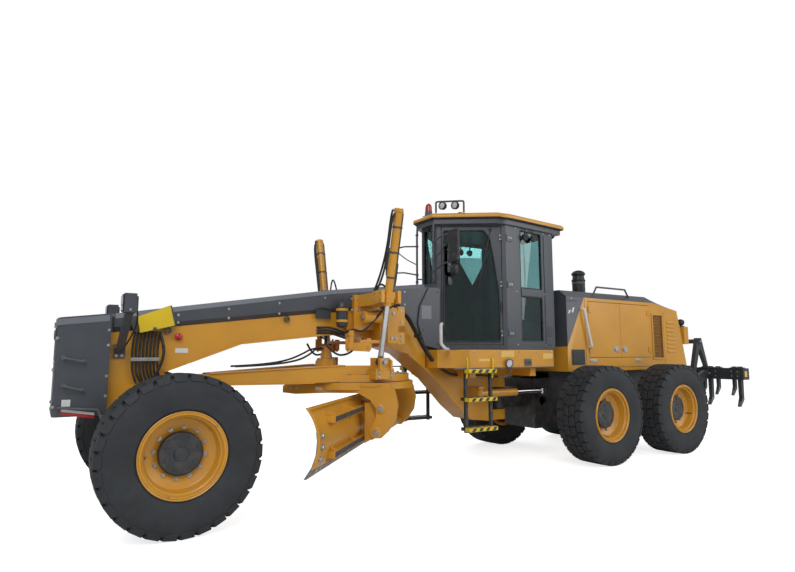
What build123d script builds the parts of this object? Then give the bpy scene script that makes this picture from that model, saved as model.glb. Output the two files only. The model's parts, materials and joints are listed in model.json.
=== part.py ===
"""Motor grader: six wheels, hinged frame, turning blade and rear ripper.

Millimetres.  +X forward, +Y to the machine's left, +Z up, origin on the ground
in the middle of the machine's length.
"""
import math
import os

from build123d import *

os.makedirs("parts", exist_ok=True)

# ---------------------------------------------------------------- driving sizes
# sizes named ..._BEHIND, and the first value of each side view, are distances behind the front axle
FRONT_AXLE_X = 4305
CLEARANCE = 6
PIN_CLEARANCE = 0.05
OVERCUT = 1

# wheels
TYRE_RADIUS = 660
TYRE_WIDTH = 445
TREAD_WIDTH = 400
TYRE_SIDES = 20
LUG_WIDTH = 125
LUG_SWEEP = 60
LUG_DEPTH = 30
FLANGE_RADIUS = 355
FLANGE_THICKNESS = 12
BEAD_RADIUS = 318
RIM_WIDTH = 394
RIM_INNER_RADIUS = 300
HUB_RADIUS = 180
HUB_HEIGHT = 75
SPINDLE_RADIUS = 70
SPINDLE_GAP = 10
WHEEL_Y = 1050
REAR_AXLE_BEHIND = 6314
TANDEM_SPACING = 1682

# front axle and steering
KINGPIN_Y = 880
KINGPIN_RADIUS = 30
KINGPIN_BOSS_RADIUS = 65
KINGPIN_Z = (500, 820)
FORK_THICKNESS = 49
FORK_Y = (960, 1000)
AXLE_BEAM_HALF = 80
AXLE_BEAM_Z = (620, 780)
AXLE_PIVOT_Z = 700
AXLE_PIVOT_RADIUS = 110
AXLE_PIN_RADIUS = 40
AXLE_SLOT_HALF = 115
STEER_ARM = 180
STEER_ARM_HALF = 28
STEER_ARM_Z = (470, 500)
STEER_PIN_RADIUS = 14
TIE_ROD_Z = 540
TIE_ROD_RADIUS = 20
TIE_ROD_EYE_RADIUS = 32

# front frame
FRAME_HALF = 200
FRAME_PLATE = 50
FRAME_SIDE = [
    (-500, 1680), (220, 1770), (1440, 1920), (2750, 2060), (3140, 1620), (3140, 1300), (4660, 1300),
    (4660, 1160), (4280, 1160), (4280, 560), (3900, 600), (3670, 780), (3290, 1160), (2850, 1480),
    (2030, 1710), (1660, 1680), (750, 1580), (0, 1300), (160, 1000), (160, 580), (-300, 580), (-500, 800),
]
CHANNEL_BEHIND = 160
CHANNEL_Z = (860, 1300)
HITCH_BEHIND = -380
HITCH_Z = 1130
BALL_RADIUS = 55
BALL_CLEARANCE = 1
ARTICULATION_BEHIND = 4550
LUG_RADIUS = 110
LUG_ROOT_BEHIND = 4280
LUG_LOW = (560, 700)
LUG_HIGH = (1010, 1160)
HITCH_PIN_RADIUS = 45
TONGUE_GAP = 15
TONGUE_HALF = 90
CROSS_BEAMS_BEHIND = (3500, 4560)
CROSS_BEAM_HALF = 650

# cover over the beam and box on the nose
COVER_HALF = 240
COVER_SIDE = [(-470, 1684), (220, 1770), (1440, 1920), (2750, 2060), (3140, 1620), (3330, 1620),
              (3330, 2390), (3140, 2380), (1780, 2220), (-470, 1860)]
COVER_CHAMFER = 45
SIDE_BOX = [(-277, 1830), (10, 1952), (60, 1757), (-247, 1679)]
SIDE_BOX_OUT = 60
NOSE_HALF = 330
NOSE_SIDE = [(-500, 930), (-940, 930), (-940, 1800), (-500, 1855)]
NOSE_CHAMFER = 40
NOSE_BOLT_RADIUS = 11
NOSE_BOLT_Y = 200
NOSE_BOLT_Z = (1030, 1330)
NOSE_BOLT_DEPTH = 40

# articulation cylinders: place of the barrel's pin and of the rod's eye
BARREL_PIN = (3900, 370)
ROD_EYE = (5050, 400)
ARTICULATION_CYLINDER_Z = 955
ARTICULATION_BARREL_RADIUS = 50
ARTICULATION_ROD_RADIUS = 28
ARTICULATION_BARREL_LENGTH = 640
ARTICULATION_LUG = 50
LUG_PLATE = 30

# cab: plan corners are (behind the front axle, half width)
CAB_FLOOR = 1530
CAB_TOP = 3200
CAB_WALL = 50
CAB_PLAN = [(3360, 175), (4120, 700), (5130, 600)]
ROOF_PLAN = [(3250, 225), (3950, 745), (4160, 770), (5320, 660)]
ROOF_Z = (3283, 3345)
ROOF_INSET = 40
BASE_PLAN = [(3170, 420), (3450, 720), (4950, 720)]
BASE_BOTTOM = 1300
GLASS = 8
GLASS_INSET = 15
FRAME_STRIP = 70
DOOR_MARGIN = 60
DOOR_HINGE_OUT = 12
HINGE_RADIUS = 10
HINGE_LENGTH = 90
HINGE_HEIGHTS = (1700, 2350, 2980)

# rear frame
RAIL_HALF = (250, 310)
RAIL_Z = (880, 1200)
DECK = 20
HOUSING_BEHIND = (4980, 5600)
HOUSING_Z = (420, 1120)
HOUSING_PLATE = 40
HOUSING_HOLE_RADIUS = 75
RAIL_REAR = 8400
REAR_PLATE = 50
REAR_PLATE_HALF = 480
REAR_PLATE_Z = (560, 1290)
TOW_EYE_BEHIND = 8540
TOW_EYE_RADIUS = 20
CASE_Y = (560, 780)
CASE_RADIUS = 200
AXLE_TUBE_RADIUS = 130
AXLE_Z = TYRE_RADIUS
ENGINE_BEHIND = (6000, 7300)
ENGINE_HALF = 240
ENGINE_Z = (900, 1850)

# hood
HOOD_HALF = 630
HOOD_WALL = 30
HOOD_FRONT = 5345
HOOD_BREAK = 7450
HOOD_TAIL = 8130
HOOD_REAR = 8360
HOOD_BOTTOM = 1220
HOOD_SIDE_TOP = 2310
HOOD_TAIL_TOP = 2200
HOOD_RISE = 100
HOOD_TAIL_RISE = 60
HOOD_SHOULDER = 130
HOOD_DOORS = [
    # leaf, front edge, rear edge
    ("front", 5820, 6570),
    ("rear", 6570, 7330),
]
HOOD_DOOR_Z = (1420, 2260)
GRILLE_BEHIND = (7400, 7680)
GRILLE_Z = (1400, 2120)
GRILLE_DEPTH = 18
GRILLE_SLATS = 14
SLAT_HEIGHT = 22
HOOD_HINGE_OUT = 10
HOOD_HINGE_RADIUS = 8
STACK_BEHIND = 6400
STACK_SECTIONS = [
    # low height, high height, radius
    (2380, 2520, 120), (2520, 2720, 105), (2720, 2790, 150), (2790, 2850, 60),
]
EXHAUST_PLACE = (6750, -150)
EXHAUST_RADIUS = 55
EXHAUST_TOP = 2620
HANDRAIL_BEHIND = (6050, 6950)
HANDRAIL_TOP = 2500
HANDRAIL_RADIUS = 14
TAIL_LAMP_BEHIND = (8300, 8430)
TAIL_LAMP_Y = (480, 640)
TAIL_LAMP_Z = (1640, 1940)

# circle and blade, in the circle's own frame
CIRCLE_BEHIND = 2250
CIRCLE_YAW = -43.2
CIRCLE_OUTER = 690
CIRCLE_INNER = 560
CIRCLE_Z = (1080, 1160)
ARM_Y = (590, 650)
ARM_SIDE = [
    # forward of the circle's middle, height
    (610, 1160), (690, 1120), (690, 1045), (540, 1030), (150, 1046), (-194, 1047), (-326, 977), (-392, 888),
    (-393, 799), (-356, 709), (-322, 655), (-322, 610), (-366, 568), (-450, 568), (-532, 643), (-615, 768),
    (-639, 928), (-606, 1070), (-540, 1160),
]
PITCH_PIN = (-400, 630)
PITCH_PIN_RADIUS = 30
PITCH_TUBE_RADIUS = 50
BLADE_LENGTH = 4100
BLADE_SHIFT = -111
BLADE_RADIUS = 450
BLADE_BOTTOM = 480
BLADE_TOP = 1005
BLADE_THICKNESS = 22
EDGE_DROP = 85
BLADE_EDGE_X = -50
SLIDE_RAIL = (50, 60)
SLIDE_RAIL_HEIGHTS = (560, 880)
SLIDE_RAIL_LENGTH = 3300
CLAW_WIDTH = 120

# drawbar
DRAWBAR_TUBE = 130
DRAWBAR_BEAM = (110, 170)
DRAWBAR_DISC_RADIUS = 640
DRAWBAR_DISC_TOP = 1245
DRAWBAR_GAP = 5
CROSS_BEAM_BEHIND = (2080, 2320)
CROSS_BEAM_Z = (1200, 1300)
CROSS_BEAM_REACH = 760
DRIVE_BEHIND = 1830
DRIVE_RADIUS = 105
DRIVE_TOP = 1420

# lift cylinders
LIFT_BEHIND = 2200
LIFT_TRUNNION = (820, 2110)
LIFT_TRUNNION_HALF = 80
LIFT_TRUNNION_RADIUS = 40
LIFT_BALL = (650, 1390)
LIFT_BARREL_WIDTH = 95
LIFT_BARREL_DOWN = 100
LIFT_BARREL_UP = 990
LIFT_BARREL_CAP = 30
LIFT_ROD_RADIUS = 32
LIFT_ROD_SPARE = 120
LIFT_EYE_RADIUS = 44
LIFT_EYE_WIDTH = 44
LIFT_LUG_GAP = 45
LIFT_LUG_PLATE = 25

# ripper
RIPPER_PIVOT = (8600, 850)
RIPPER_PIN_RADIUS = 30
RIPPER_ARM_Y = (385, 455)
RIPPER_BEAM = (9350, 9550)
RIPPER_BEAM_Z = (1020, 1220)
RIPPER_HALF = 1050
RIPPER_APEX = (9100, 1700)
RIPPER_CYLINDER = (8540, 1180)
RIPPER_BARREL_RADIUS = 50
RIPPER_ROD_RADIUS = 25
RIPPER_TINES = [
    # Y, tip height, width
    (-950, 550, 60), (-850, 740, 45), (-570, 740, 45), (-430, 550, 60), (-320, 740, 45), (0, 550, 60),
    (320, 740, 45), (430, 550, 60), (570, 740, 45), (850, 740, 45), (950, 550, 60),
]
TINE_HEAD = 30
TINE_BEHIND = 9400


def behind(distance):
    """X of a place that lies this far behind the front axle."""
    return FRONT_AXLE_X - distance


def side_view(outline):
    """Points (X, Z) from a table of (behind the front axle, height)."""
    return [(behind(back), height) for back, height in outline]


def between(side, near, far):
    """Low and high Y of a piece that lies between two distances from the middle."""
    return tuple(sorted((side * near, side * far)))


def block(x, y, z, mode=Mode.ADD):
    """Box between the low and high value on each axis."""
    centre = ((x[0] + x[1]) / 2, (y[0] + y[1]) / 2, (z[0] + z[1]) / 2)
    with Locations(centre):
        Box(abs(x[1] - x[0]), abs(y[1] - y[0]), abs(z[1] - z[0]), mode=mode)


def plate(plane, outline, thickness, mode=Mode.ADD):
    """Extrude an outline from its plane, along the plane's normal."""
    with BuildSketch(plane, mode=Mode.PRIVATE) as sketch:
        with BuildLine():
            Polyline(*outline, close=True)
        make_face()
    extrude(sketch.sketch, amount=thickness, mode=mode)


def side_plate(outline, y, mode=Mode.ADD):
    """Extrude an (X, Z) outline between two Y values."""
    plate(Plane.XZ.offset(-y[1]), outline, y[1] - y[0], mode)


def round_bar(start, end, radius, mode=Mode.ADD):
    """Cylinder from one point to another."""
    run = Vector(*end) - Vector(*start)
    with Locations(Plane(origin=start, z_dir=run)):
        Cylinder(radius, run.length, align=(Align.CENTER, Align.CENTER, Align.MIN), mode=mode)


def square_bar(start, end, width, height, mode=Mode.ADD):
    """Box beam from one point to another, its width level."""
    run = Vector(*end) - Vector(*start)
    level = Vector(0, 0, 1).cross(run)
    with Locations(Plane(origin=start, x_dir=level, z_dir=run)):
        Box(width, height, run.length, align=(Align.CENTER, Align.CENTER, Align.MIN), mode=mode)


def full_plan(half_plan):
    """Closed plan (X, Y) from a table of (behind the front axle, half width)."""
    left = [(behind(back), half) for back, half in half_plan]
    return left + [(x, -y) for x, y in reversed(left)]


def export(part, node):
    """Name a solid and write its file."""
    part.part.label = node
    export_step(part.part, "parts/" + node + ".step")


# ---------------------------------------------------------------- rear frame
front_of_rear, rear_of_housing = HOUSING_BEHIND
tongue_z = (LUG_LOW[1] + TONGUE_GAP, LUG_HIGH[0] - TONGUE_GAP)
rear_plate_back = RAIL_REAR + REAR_PLATE

with BuildPart() as rear_chassis:
    housing_x = (behind(rear_of_housing), behind(front_of_rear))
    rail_front = rear_of_housing - 250
    hole_behind = front_of_rear + 180
    hole_z = (HOUSING_Z[0] + HOUSING_Z[1]) / 2 + 30
    for side in (1, -1):
        rail_y = between(side, *RAIL_HALF)
        block((behind(RAIL_REAR), behind(rail_front)), rail_y, RAIL_Z)
        block(housing_x, rail_y, HOUSING_Z)
        round_bar((behind(hole_behind), rail_y[0], hole_z), (behind(hole_behind), rail_y[1], hole_z),
                  HOUSING_HOLE_RADIUS, Mode.SUBTRACT)
    housing_y = (-RAIL_HALF[1], RAIL_HALF[1])
    block(housing_x, housing_y, (HOUSING_Z[0], HOUSING_Z[0] + HOUSING_PLATE))
    block((behind(front_of_rear + HOUSING_PLATE), behind(front_of_rear)), housing_y, HOUSING_Z)
    block((behind(rear_of_housing), behind(rear_of_housing - HOUSING_PLATE)), housing_y, HOUSING_Z)
    # tongue that sits between the front frame's lugs
    block((behind(front_of_rear), behind(ARTICULATION_BEHIND)), (-TONGUE_HALF, TONGUE_HALF), tongue_z)
    hitch_low = (behind(ARTICULATION_BEHIND), 0, tongue_z[0])
    hitch_high = (behind(ARTICULATION_BEHIND), 0, tongue_z[1])
    round_bar(hitch_low, hitch_high, LUG_RADIUS)
    round_bar(hitch_low, hitch_high, HITCH_PIN_RADIUS + PIN_CLEARANCE, Mode.SUBTRACT)
    # lugs for the articulation cylinders' rods, above and below each eye
    eye_x = (behind(ROD_EYE[0] + ARTICULATION_LUG), behind(ROD_EYE[0] - ARTICULATION_LUG))
    for side in (1, -1):
        for z_low in (ARTICULATION_CYLINDER_Z - 75, ARTICULATION_CYLINDER_Z + 45):
            block(eye_x, between(side, RAIL_HALF[1], ROD_EYE[1] + ARTICULATION_LUG),
                  (z_low, z_low + LUG_PLATE))
    # deck with the engine's opening
    deck_z = (RAIL_Z[1], RAIL_Z[1] + DECK)
    deck_half = HOOD_HALF - HOOD_WALL
    block((behind(HOOD_REAR), behind(HOOD_FRONT + DECK)), (-deck_half, deck_half), deck_z)
    block((behind(ENGINE_BEHIND[1] + 50), behind(ENGINE_BEHIND[0] - 50)), (-RAIL_HALF[0], RAIL_HALF[0]),
          deck_z,
          Mode.SUBTRACT)
    # rear plate, ripper lugs and tow eye
    block((behind(rear_plate_back), behind(RAIL_REAR)), (-REAR_PLATE_HALF, REAR_PLATE_HALF), REAR_PLATE_Z)
    pivot_behind, pivot_z = RIPPER_PIVOT
    lug_side = side_view([(rear_plate_back, pivot_z - 90), (pivot_behind + 50, pivot_z - 50),
                          (pivot_behind + 50, pivot_z + 50), (rear_plate_back, pivot_z + 110)])
    lug_inner = RIPPER_ARM_Y[0] - 45
    for side in (1, -1):
        side_plate(lug_side, between(side, lug_inner, RIPPER_ARM_Y[0] - 5))
        round_bar((behind(pivot_behind), side * lug_inner, pivot_z),
                  (behind(pivot_behind), side * (RIPPER_ARM_Y[1] + 15), pivot_z), RIPPER_PIN_RADIUS)
        block((behind(RIPPER_CYLINDER[0] + 40), behind(rear_plate_back)), between(side, 58, 83),
              (RIPPER_CYLINDER[1] - 50, RIPPER_CYLINDER[1] + 50))
    tow_z = (600, 640)
    block((behind(TOW_EYE_BEHIND + 60), behind(rear_plate_back)), (-80, 80), tow_z)
    round_bar((behind(TOW_EYE_BEHIND), 0, tow_z[0]), (behind(TOW_EYE_BEHIND), 0, tow_z[1]), TOW_EYE_RADIUS,
              Mode.SUBTRACT)
export(rear_chassis, "rear_chassis")

rear_wheels_behind = [REAR_AXLE_BEHIND - TANDEM_SPACING / 2, REAR_AXLE_BEHIND + TANDEM_SPACING / 2]
spindle_end = WHEEL_Y - SPINDLE_GAP

with BuildPart() as tandem_drive:
    round_bar((behind(REAR_AXLE_BEHIND), -CASE_Y[0], AXLE_Z), (behind(REAR_AXLE_BEHIND), CASE_Y[0], AXLE_Z),
              AXLE_TUBE_RADIUS)
    for side in (1, -1):
        case_y = between(side, *CASE_Y)
        block((behind(rear_wheels_behind[1]), behind(rear_wheels_behind[0])), case_y,
              (AXLE_Z - CASE_RADIUS, AXLE_Z + CASE_RADIUS))
        for place in rear_wheels_behind:
            round_bar((behind(place), case_y[0], AXLE_Z), (behind(place), case_y[1], AXLE_Z), CASE_RADIUS)
            round_bar((behind(place), side * CASE_Y[1], AXLE_Z), (behind(place), side * spindle_end, AXLE_Z),
                      SPINDLE_RADIUS)
        block((behind(REAR_AXLE_BEHIND + 150), behind(REAR_AXLE_BEHIND - 150)), between(side, *RAIL_HALF),
              (AXLE_Z + 80, RAIL_Z[0]))
export(tandem_drive, "tandem_drive")

with BuildPart() as engine_block:
    block((behind(ENGINE_BEHIND[1]), behind(ENGINE_BEHIND[0])), (-ENGINE_HALF, ENGINE_HALF), ENGINE_Z)
export(engine_block, "engine_block")

# ---------------------------------------------------------------- hood
hood_side = [(HOOD_FRONT, HOOD_BOTTOM), (HOOD_FRONT, HOOD_SIDE_TOP), (HOOD_BREAK, HOOD_SIDE_TOP),
             (HOOD_TAIL, HOOD_TAIL_TOP), (HOOD_REAR, HOOD_BOTTOM)]
hood_inside = [(HOOD_FRONT + HOOD_WALL, HOOD_BOTTOM), (HOOD_FRONT + HOOD_WALL, HOOD_SIDE_TOP),
               (HOOD_BREAK, HOOD_SIDE_TOP), (HOOD_TAIL - HOOD_WALL, HOOD_TAIL_TOP),
               (HOOD_REAR - HOOD_WALL, HOOD_BOTTOM)]
inside_half = HOOD_HALF - HOOD_WALL

with BuildPart() as hood_shell:
    side_plate(side_view(hood_side), (-HOOD_HALF, HOOD_HALF))
    side_plate(side_view(hood_inside), (-inside_half, inside_half), Mode.SUBTRACT)
    doors_x = (behind(HOOD_DOORS[-1][2]), behind(HOOD_DOORS[0][1]))
    for side in (1, -1):
        block(doors_x, between(side, inside_half - OVERCUT, HOOD_HALF + OVERCUT), HOOD_DOOR_Z, Mode.SUBTRACT)
    # grille recess with its slats, behind the rear door
    grille_x = (behind(GRILLE_BEHIND[1]), behind(GRILLE_BEHIND[0]))
    slat_pitch = (GRILLE_Z[1] - GRILLE_Z[0]) / GRILLE_SLATS
    for side in (1, -1):
        block(grille_x, between(side, HOOD_HALF - GRILLE_DEPTH, HOOD_HALF + OVERCUT), GRILLE_Z, Mode.SUBTRACT)
        for slat in range(1, GRILLE_SLATS):
            slat_z = GRILLE_Z[0] + slat * slat_pitch
            block(grille_x, between(side, HOOD_HALF - GRILLE_DEPTH - OVERCUT, HOOD_HALF - 4),
                  (slat_z - SLAT_HEIGHT / 2, slat_z + SLAT_HEIGHT / 2))
    corners = hood_shell.edges().filter_by(Axis.Z).sort_by(Axis.X)[-4:]
    chamfer(corners.sort_by(SortBy.DISTANCE, reverse=True)[:2], length=HOOD_WALL - 5)
export(hood_shell, "hood_shell")

hood_top_sections = [
    # behind the front axle, base, flat top, half width of the flat top
    (HOOD_FRONT, HOOD_SIDE_TOP, HOOD_SIDE_TOP + HOOD_RISE, HOOD_HALF - HOOD_SHOULDER),
    (HOOD_BREAK, HOOD_SIDE_TOP, HOOD_SIDE_TOP + HOOD_RISE + 10, HOOD_HALF - HOOD_SHOULDER - 20),
    (HOOD_TAIL, HOOD_TAIL_TOP, HOOD_TAIL_TOP + HOOD_TAIL_RISE, HOOD_HALF - HOOD_SHOULDER - 60),
]
stack_x = behind(STACK_BEHIND)
exhaust_x = behind(EXHAUST_PLACE[0])
exhaust_y = EXHAUST_PLACE[1]

with BuildPart() as hood_top:
    for first, second in zip(hood_top_sections, hood_top_sections[1:]):
        for back, base, top, half in (first, second):
            with BuildSketch(Plane.YZ.offset(behind(back))):
                with BuildLine():
                    Polyline((-HOOD_HALF, base), (HOOD_HALF, base), (half, top), (-half, top), close=True)
                make_face()
        loft()
    # handrail along each top edge
    rail_y = HOOD_HALF - HOOD_SHOULDER + 40
    for side in (1, -1):
        front_foot = (behind(HANDRAIL_BEHIND[0]), side * rail_y, HOOD_SIDE_TOP + HOOD_RISE / 2)
        rear_foot = (behind(HANDRAIL_BEHIND[1]), side * rail_y, HOOD_SIDE_TOP + HOOD_RISE / 2)
        front_top = (behind(HANDRAIL_BEHIND[0] + 100), side * rail_y, HANDRAIL_TOP)
        rear_top = (behind(HANDRAIL_BEHIND[1] - 100), side * rail_y, HANDRAIL_TOP)
        for start, end in ((front_foot, front_top), (rear_foot, rear_top), (front_top, rear_top)):
            round_bar(start, end, HANDRAIL_RADIUS)
    round_bar((stack_x, 0, HOOD_SIDE_TOP), (stack_x, 0, HOOD_SIDE_TOP + 2 * HOOD_RISE),
              STACK_SECTIONS[0][2] + OVERCUT, Mode.SUBTRACT)
    round_bar((exhaust_x, exhaust_y, HOOD_SIDE_TOP), (exhaust_x, exhaust_y, HOOD_SIDE_TOP + 2 * HOOD_RISE),
              EXHAUST_RADIUS + OVERCUT, Mode.SUBTRACT)
export(hood_top, "hood_top")

HOOD_LEAVES = [
    # side name, side, leaf, front edge, rear edge, hinged edge
    ("left", 1, HOOD_DOORS[0], HOOD_DOORS[0][1], -1), ("left", 1, HOOD_DOORS[1], HOOD_DOORS[1][2], 1),
    ("right", -1, HOOD_DOORS[0], HOOD_DOORS[0][1], -1), ("right", -1, HOOD_DOORS[1], HOOD_DOORS[1][2], 1),
]
for side_name, side, (leaf, front, rear), hinge_behind, reach in HOOD_LEAVES:
    with BuildPart() as hood_door:
        block((behind(rear) + CLEARANCE / 2, behind(front) - CLEARANCE / 2),
              between(side, inside_half, HOOD_HALF),
              (HOOD_DOOR_Z[0] + CLEARANCE, HOOD_DOOR_Z[1] - CLEARANCE))
        hinge_x = behind(hinge_behind)
        hinge_y = side * (HOOD_HALF + HOOD_HINGE_OUT)
        for z_low in (HOOD_DOOR_Z[0] + 80, HOOD_DOOR_Z[1] - 80 - HINGE_LENGTH):
            round_bar((hinge_x, hinge_y, z_low), (hinge_x, hinge_y, z_low + HINGE_LENGTH), HOOD_HINGE_RADIUS)
            block(sorted((hinge_x + reach * 2, hinge_x + reach * 60)),
                  between(side, HOOD_HALF + 3, HOOD_HALF + HOOD_HINGE_OUT), (z_low, z_low + HINGE_LENGTH))
            block(sorted((hinge_x + reach * 10, hinge_x + reach * 60)),
                  between(side, HOOD_HALF - 5, HOOD_HALF + HOOD_HINGE_OUT), (z_low, z_low + HINGE_LENGTH))
    export(hood_door, "hood_door_" + leaf + "_" + side_name)

with BuildPart() as intake_stack:
    for z_low, z_high, radius in STACK_SECTIONS:
        round_bar((stack_x, 0, z_low), (stack_x, 0, z_high), radius)
    round_bar((exhaust_x, exhaust_y, HOOD_SIDE_TOP - 10), (exhaust_x, exhaust_y, EXHAUST_TOP), EXHAUST_RADIUS)
    block((exhaust_x - 2 * EXHAUST_RADIUS, stack_x + 150), (exhaust_y - 2 * EXHAUST_RADIUS, 150),
          (HOOD_SIDE_TOP - 20, HOOD_SIDE_TOP))
    round_bar((stack_x, 0, HOOD_SIDE_TOP - 10), (stack_x, 0, STACK_SECTIONS[0][0] + OVERCUT),
              STACK_SECTIONS[0][2])
export(intake_stack, "intake_stack")

with BuildPart() as tail_lamps:
    for side in (1, -1):
        block((behind(TAIL_LAMP_BEHIND[1]), behind(TAIL_LAMP_BEHIND[0])), between(side, *TAIL_LAMP_Y),
              TAIL_LAMP_Z)
export(tail_lamps, "tail_lamps")

# ---------------------------------------------------------------- wheels
half_tyre = TYRE_WIDTH / 2
half_rim = RIM_WIDTH / 2
seat_half = half_rim - FLANGE_THICKNESS
tyre_stations = [
    # axial place from the wheel's middle, radius of the carcass
    (-half_tyre, FLANGE_RADIUS + 145), (-TREAD_WIDTH / 2 - 5, TYRE_RADIUS - 25),
    (TREAD_WIDTH / 2 + 5, TYRE_RADIUS - 25), (half_tyre, FLANGE_RADIUS + 145),
]
sidewall_dish = [
    # axial place, radius of the hollow around the rim's flange
    (seat_half, FLANGE_RADIUS + 12), (half_tyre + OVERCUT, FLANGE_RADIUS + 125),
]
rim_section = [
    # axial place outwards from the wheel's middle, radius
    (-half_rim, FLANGE_RADIUS), (-seat_half, FLANGE_RADIUS), (-seat_half, BEAD_RADIUS),
    (seat_half, BEAD_RADIUS), (seat_half, FLANGE_RADIUS), (half_rim, FLANGE_RADIUS),
    (half_rim, RIM_INNER_RADIUS + 6), (half_rim - 27, RIM_INNER_RADIUS), (60, RIM_INNER_RADIUS - 8),
    (20, HUB_RADIUS), (HUB_HEIGHT, HUB_RADIUS - 5), (HUB_HEIGHT, 0), (SPINDLE_GAP - 15, 0),
    (SPINDLE_GAP - 15, SPINDLE_RADIUS + PIN_CLEARANCE), (-45, SPINDLE_RADIUS + PIN_CLEARANCE),
    (-45, HUB_RADIUS - 30), (0, HUB_RADIUS), (30, RIM_INNER_RADIUS - 18), (-60, RIM_INNER_RADIUS),
    (-half_rim, RIM_INNER_RADIUS + 6),
]
WHEELS = [
    # name, distance behind the front axle, side
    ("front_left", 0, 1), ("front_right", 0, -1),
    ("middle_left", rear_wheels_behind[0], 1), ("middle_right", rear_wheels_behind[0], -1),
    ("rear_left", rear_wheels_behind[1], 1), ("rear_right", rear_wheels_behind[1], -1),
]



def tyre_face(axial, radius):
    """Sketch of the tyre's flat-sided outline at a place along its axle."""
    corners = []
    for step in range(TYRE_SIDES):
        turn = 2 * math.pi * (step + 0.5) / TYRE_SIDES
        corners.append((radius * math.cos(turn), radius * math.sin(turn)))
    with BuildSketch(Plane(origin=(0, axial, 0), x_dir=(1, 0, 0), z_dir=(0, -1, 0))) as face:
        with BuildLine():
            Polyline(*corners, close=True)
        make_face()
    return face


with BuildPart() as tyre:
    for near, far in zip(tyre_stations, tyre_stations[1:]):
        loft(sections=[tyre_face(*near).sketch, tyre_face(*far).sketch], ruled=True)
    for side in (1, -1):
        dish = [tyre_face(side * axial, radius).sketch for axial, radius in sidewall_dish]
        loft(sections=dish, ruled=True, mode=Mode.SUBTRACT)
    # one swept lug on each flat side, the lowest one flat on the ground
    lug_root = TYRE_RADIUS - 2 * LUG_DEPTH
    half_tread = TREAD_WIDTH / 2
    ahead = (LUG_WIDTH + LUG_SWEEP) / 2
    back = (LUG_WIDTH - LUG_SWEEP) / 2
    lug_plan = [(-half_tread, -ahead), (0, -back), (half_tread, -ahead), (half_tread, back), (0, ahead),
                (-half_tread, back)]
    for lug in range(TYRE_SIDES):
        turn = 2 * math.pi * lug / TYRE_SIDES - math.pi / 2
        outwards = Vector(math.cos(turn), 0, math.sin(turn))
        plate(Plane(origin=outwards * lug_root, x_dir=(0, 1, 0), z_dir=outwards), lug_plan,
              TYRE_RADIUS - lug_root)
    bore_radius = BEAD_RADIUS / math.cos(math.pi / TYRE_SIDES) + OVERCUT
    extrude(tyre_face(TYRE_WIDTH, bore_radius).sketch, amount=2 * TYRE_WIDTH, mode=Mode.SUBTRACT)

for wheel_name, place, side in WHEELS:
    centre = (behind(place), side * WHEEL_Y, TYRE_RADIUS)
    with BuildPart() as placed_tyre:
        with Locations(centre):
            add(tyre.part)
    export(placed_tyre, "tyre_" + wheel_name)
    with BuildPart() as rim:
        with BuildSketch(Plane(origin=centre, x_dir=(0, side, 0), z_dir=(-side, 0, 0))):
            with BuildLine():
                Polyline(*rim_section, close=True)
            make_face()
        revolve(axis=Axis(centre, (0, 1, 0)))
    export(rim, "rim_" + wheel_name)

# ---------------------------------------------------------------- ripper
beam_front = RIPPER_BEAM[0]
apex_behind, apex_z = RIPPER_APEX
arm_side = side_view([(pivot_behind - 55, pivot_z - 20), (pivot_behind + 10, pivot_z - 60),
                      (beam_front, RIPPER_BEAM_Z[0] + 20), (beam_front, RIPPER_BEAM_Z[1] - 20),
                      (apex_behind + 60, apex_z + 60), (apex_behind - 60, apex_z + 60), (8790, 1010),
                      (pivot_behind - 50, pivot_z + 55)])
arm_window = side_view([(8890, 1060), (beam_front - 40, RIPPER_BEAM_Z[1] - 30),
                        (apex_behind + 15, apex_z - 140),
                        (apex_behind - 15, apex_z - 140)])

with BuildPart() as ripper:
    block((behind(RIPPER_BEAM[1]), behind(RIPPER_BEAM[0])), (-RIPPER_HALF, RIPPER_HALF), RIPPER_BEAM_Z)
    for side in (1, -1):
        arm_y = between(side, *RIPPER_ARM_Y)
        side_plate(arm_side, arm_y)
        side_plate(arm_window, arm_y, Mode.SUBTRACT)
        round_bar((behind(pivot_behind), arm_y[0], pivot_z), (behind(pivot_behind), arm_y[1], pivot_z),
                  RIPPER_PIN_RADIUS + PIN_CLEARANCE, Mode.SUBTRACT)
        round_bar((behind(apex_behind), side * 45, apex_z),
                  (behind(apex_behind), side * RIPPER_ARM_Y[0], apex_z), 40)
    for y, tip, width in RIPPER_TINES:
        head = RIPPER_BEAM_Z[1] + TINE_HEAD
        tine = [(TINE_BEHIND, head), (TINE_BEHIND, tip + 150), (TINE_BEHIND - 60, tip),
                (TINE_BEHIND + 70, tip + 130), (TINE_BEHIND + 90, head)]
        side_plate(side_view(tine), (y - width / 2, y + width / 2))
export(ripper, "ripper")

cylinder_foot = Vector(behind(RIPPER_CYLINDER[0]), 0, RIPPER_CYLINDER[1])
apex = Vector(behind(apex_behind), 0, apex_z)
ripper_run = apex - cylinder_foot
ripper_plane = Plane(origin=cylinder_foot, x_dir=(0, 1, 0), z_dir=ripper_run)
upwards = (Align.CENTER, Align.CENTER, Align.MIN)

with BuildPart() as ripper_barrel:
    with Locations(ripper_plane):
        Cylinder(RIPPER_BARREL_RADIUS, ripper_run.length - 130, align=upwards)
    with Locations(ripper_plane.offset(60)):
        Cylinder(RIPPER_ROD_RADIUS + 3, ripper_run.length, align=upwards, mode=Mode.SUBTRACT)
    round_bar(cylinder_foot - Vector(0, 52, 0), cylinder_foot + Vector(0, 52, 0), 35)
export(ripper_barrel, "ripper_barrel")

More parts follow.
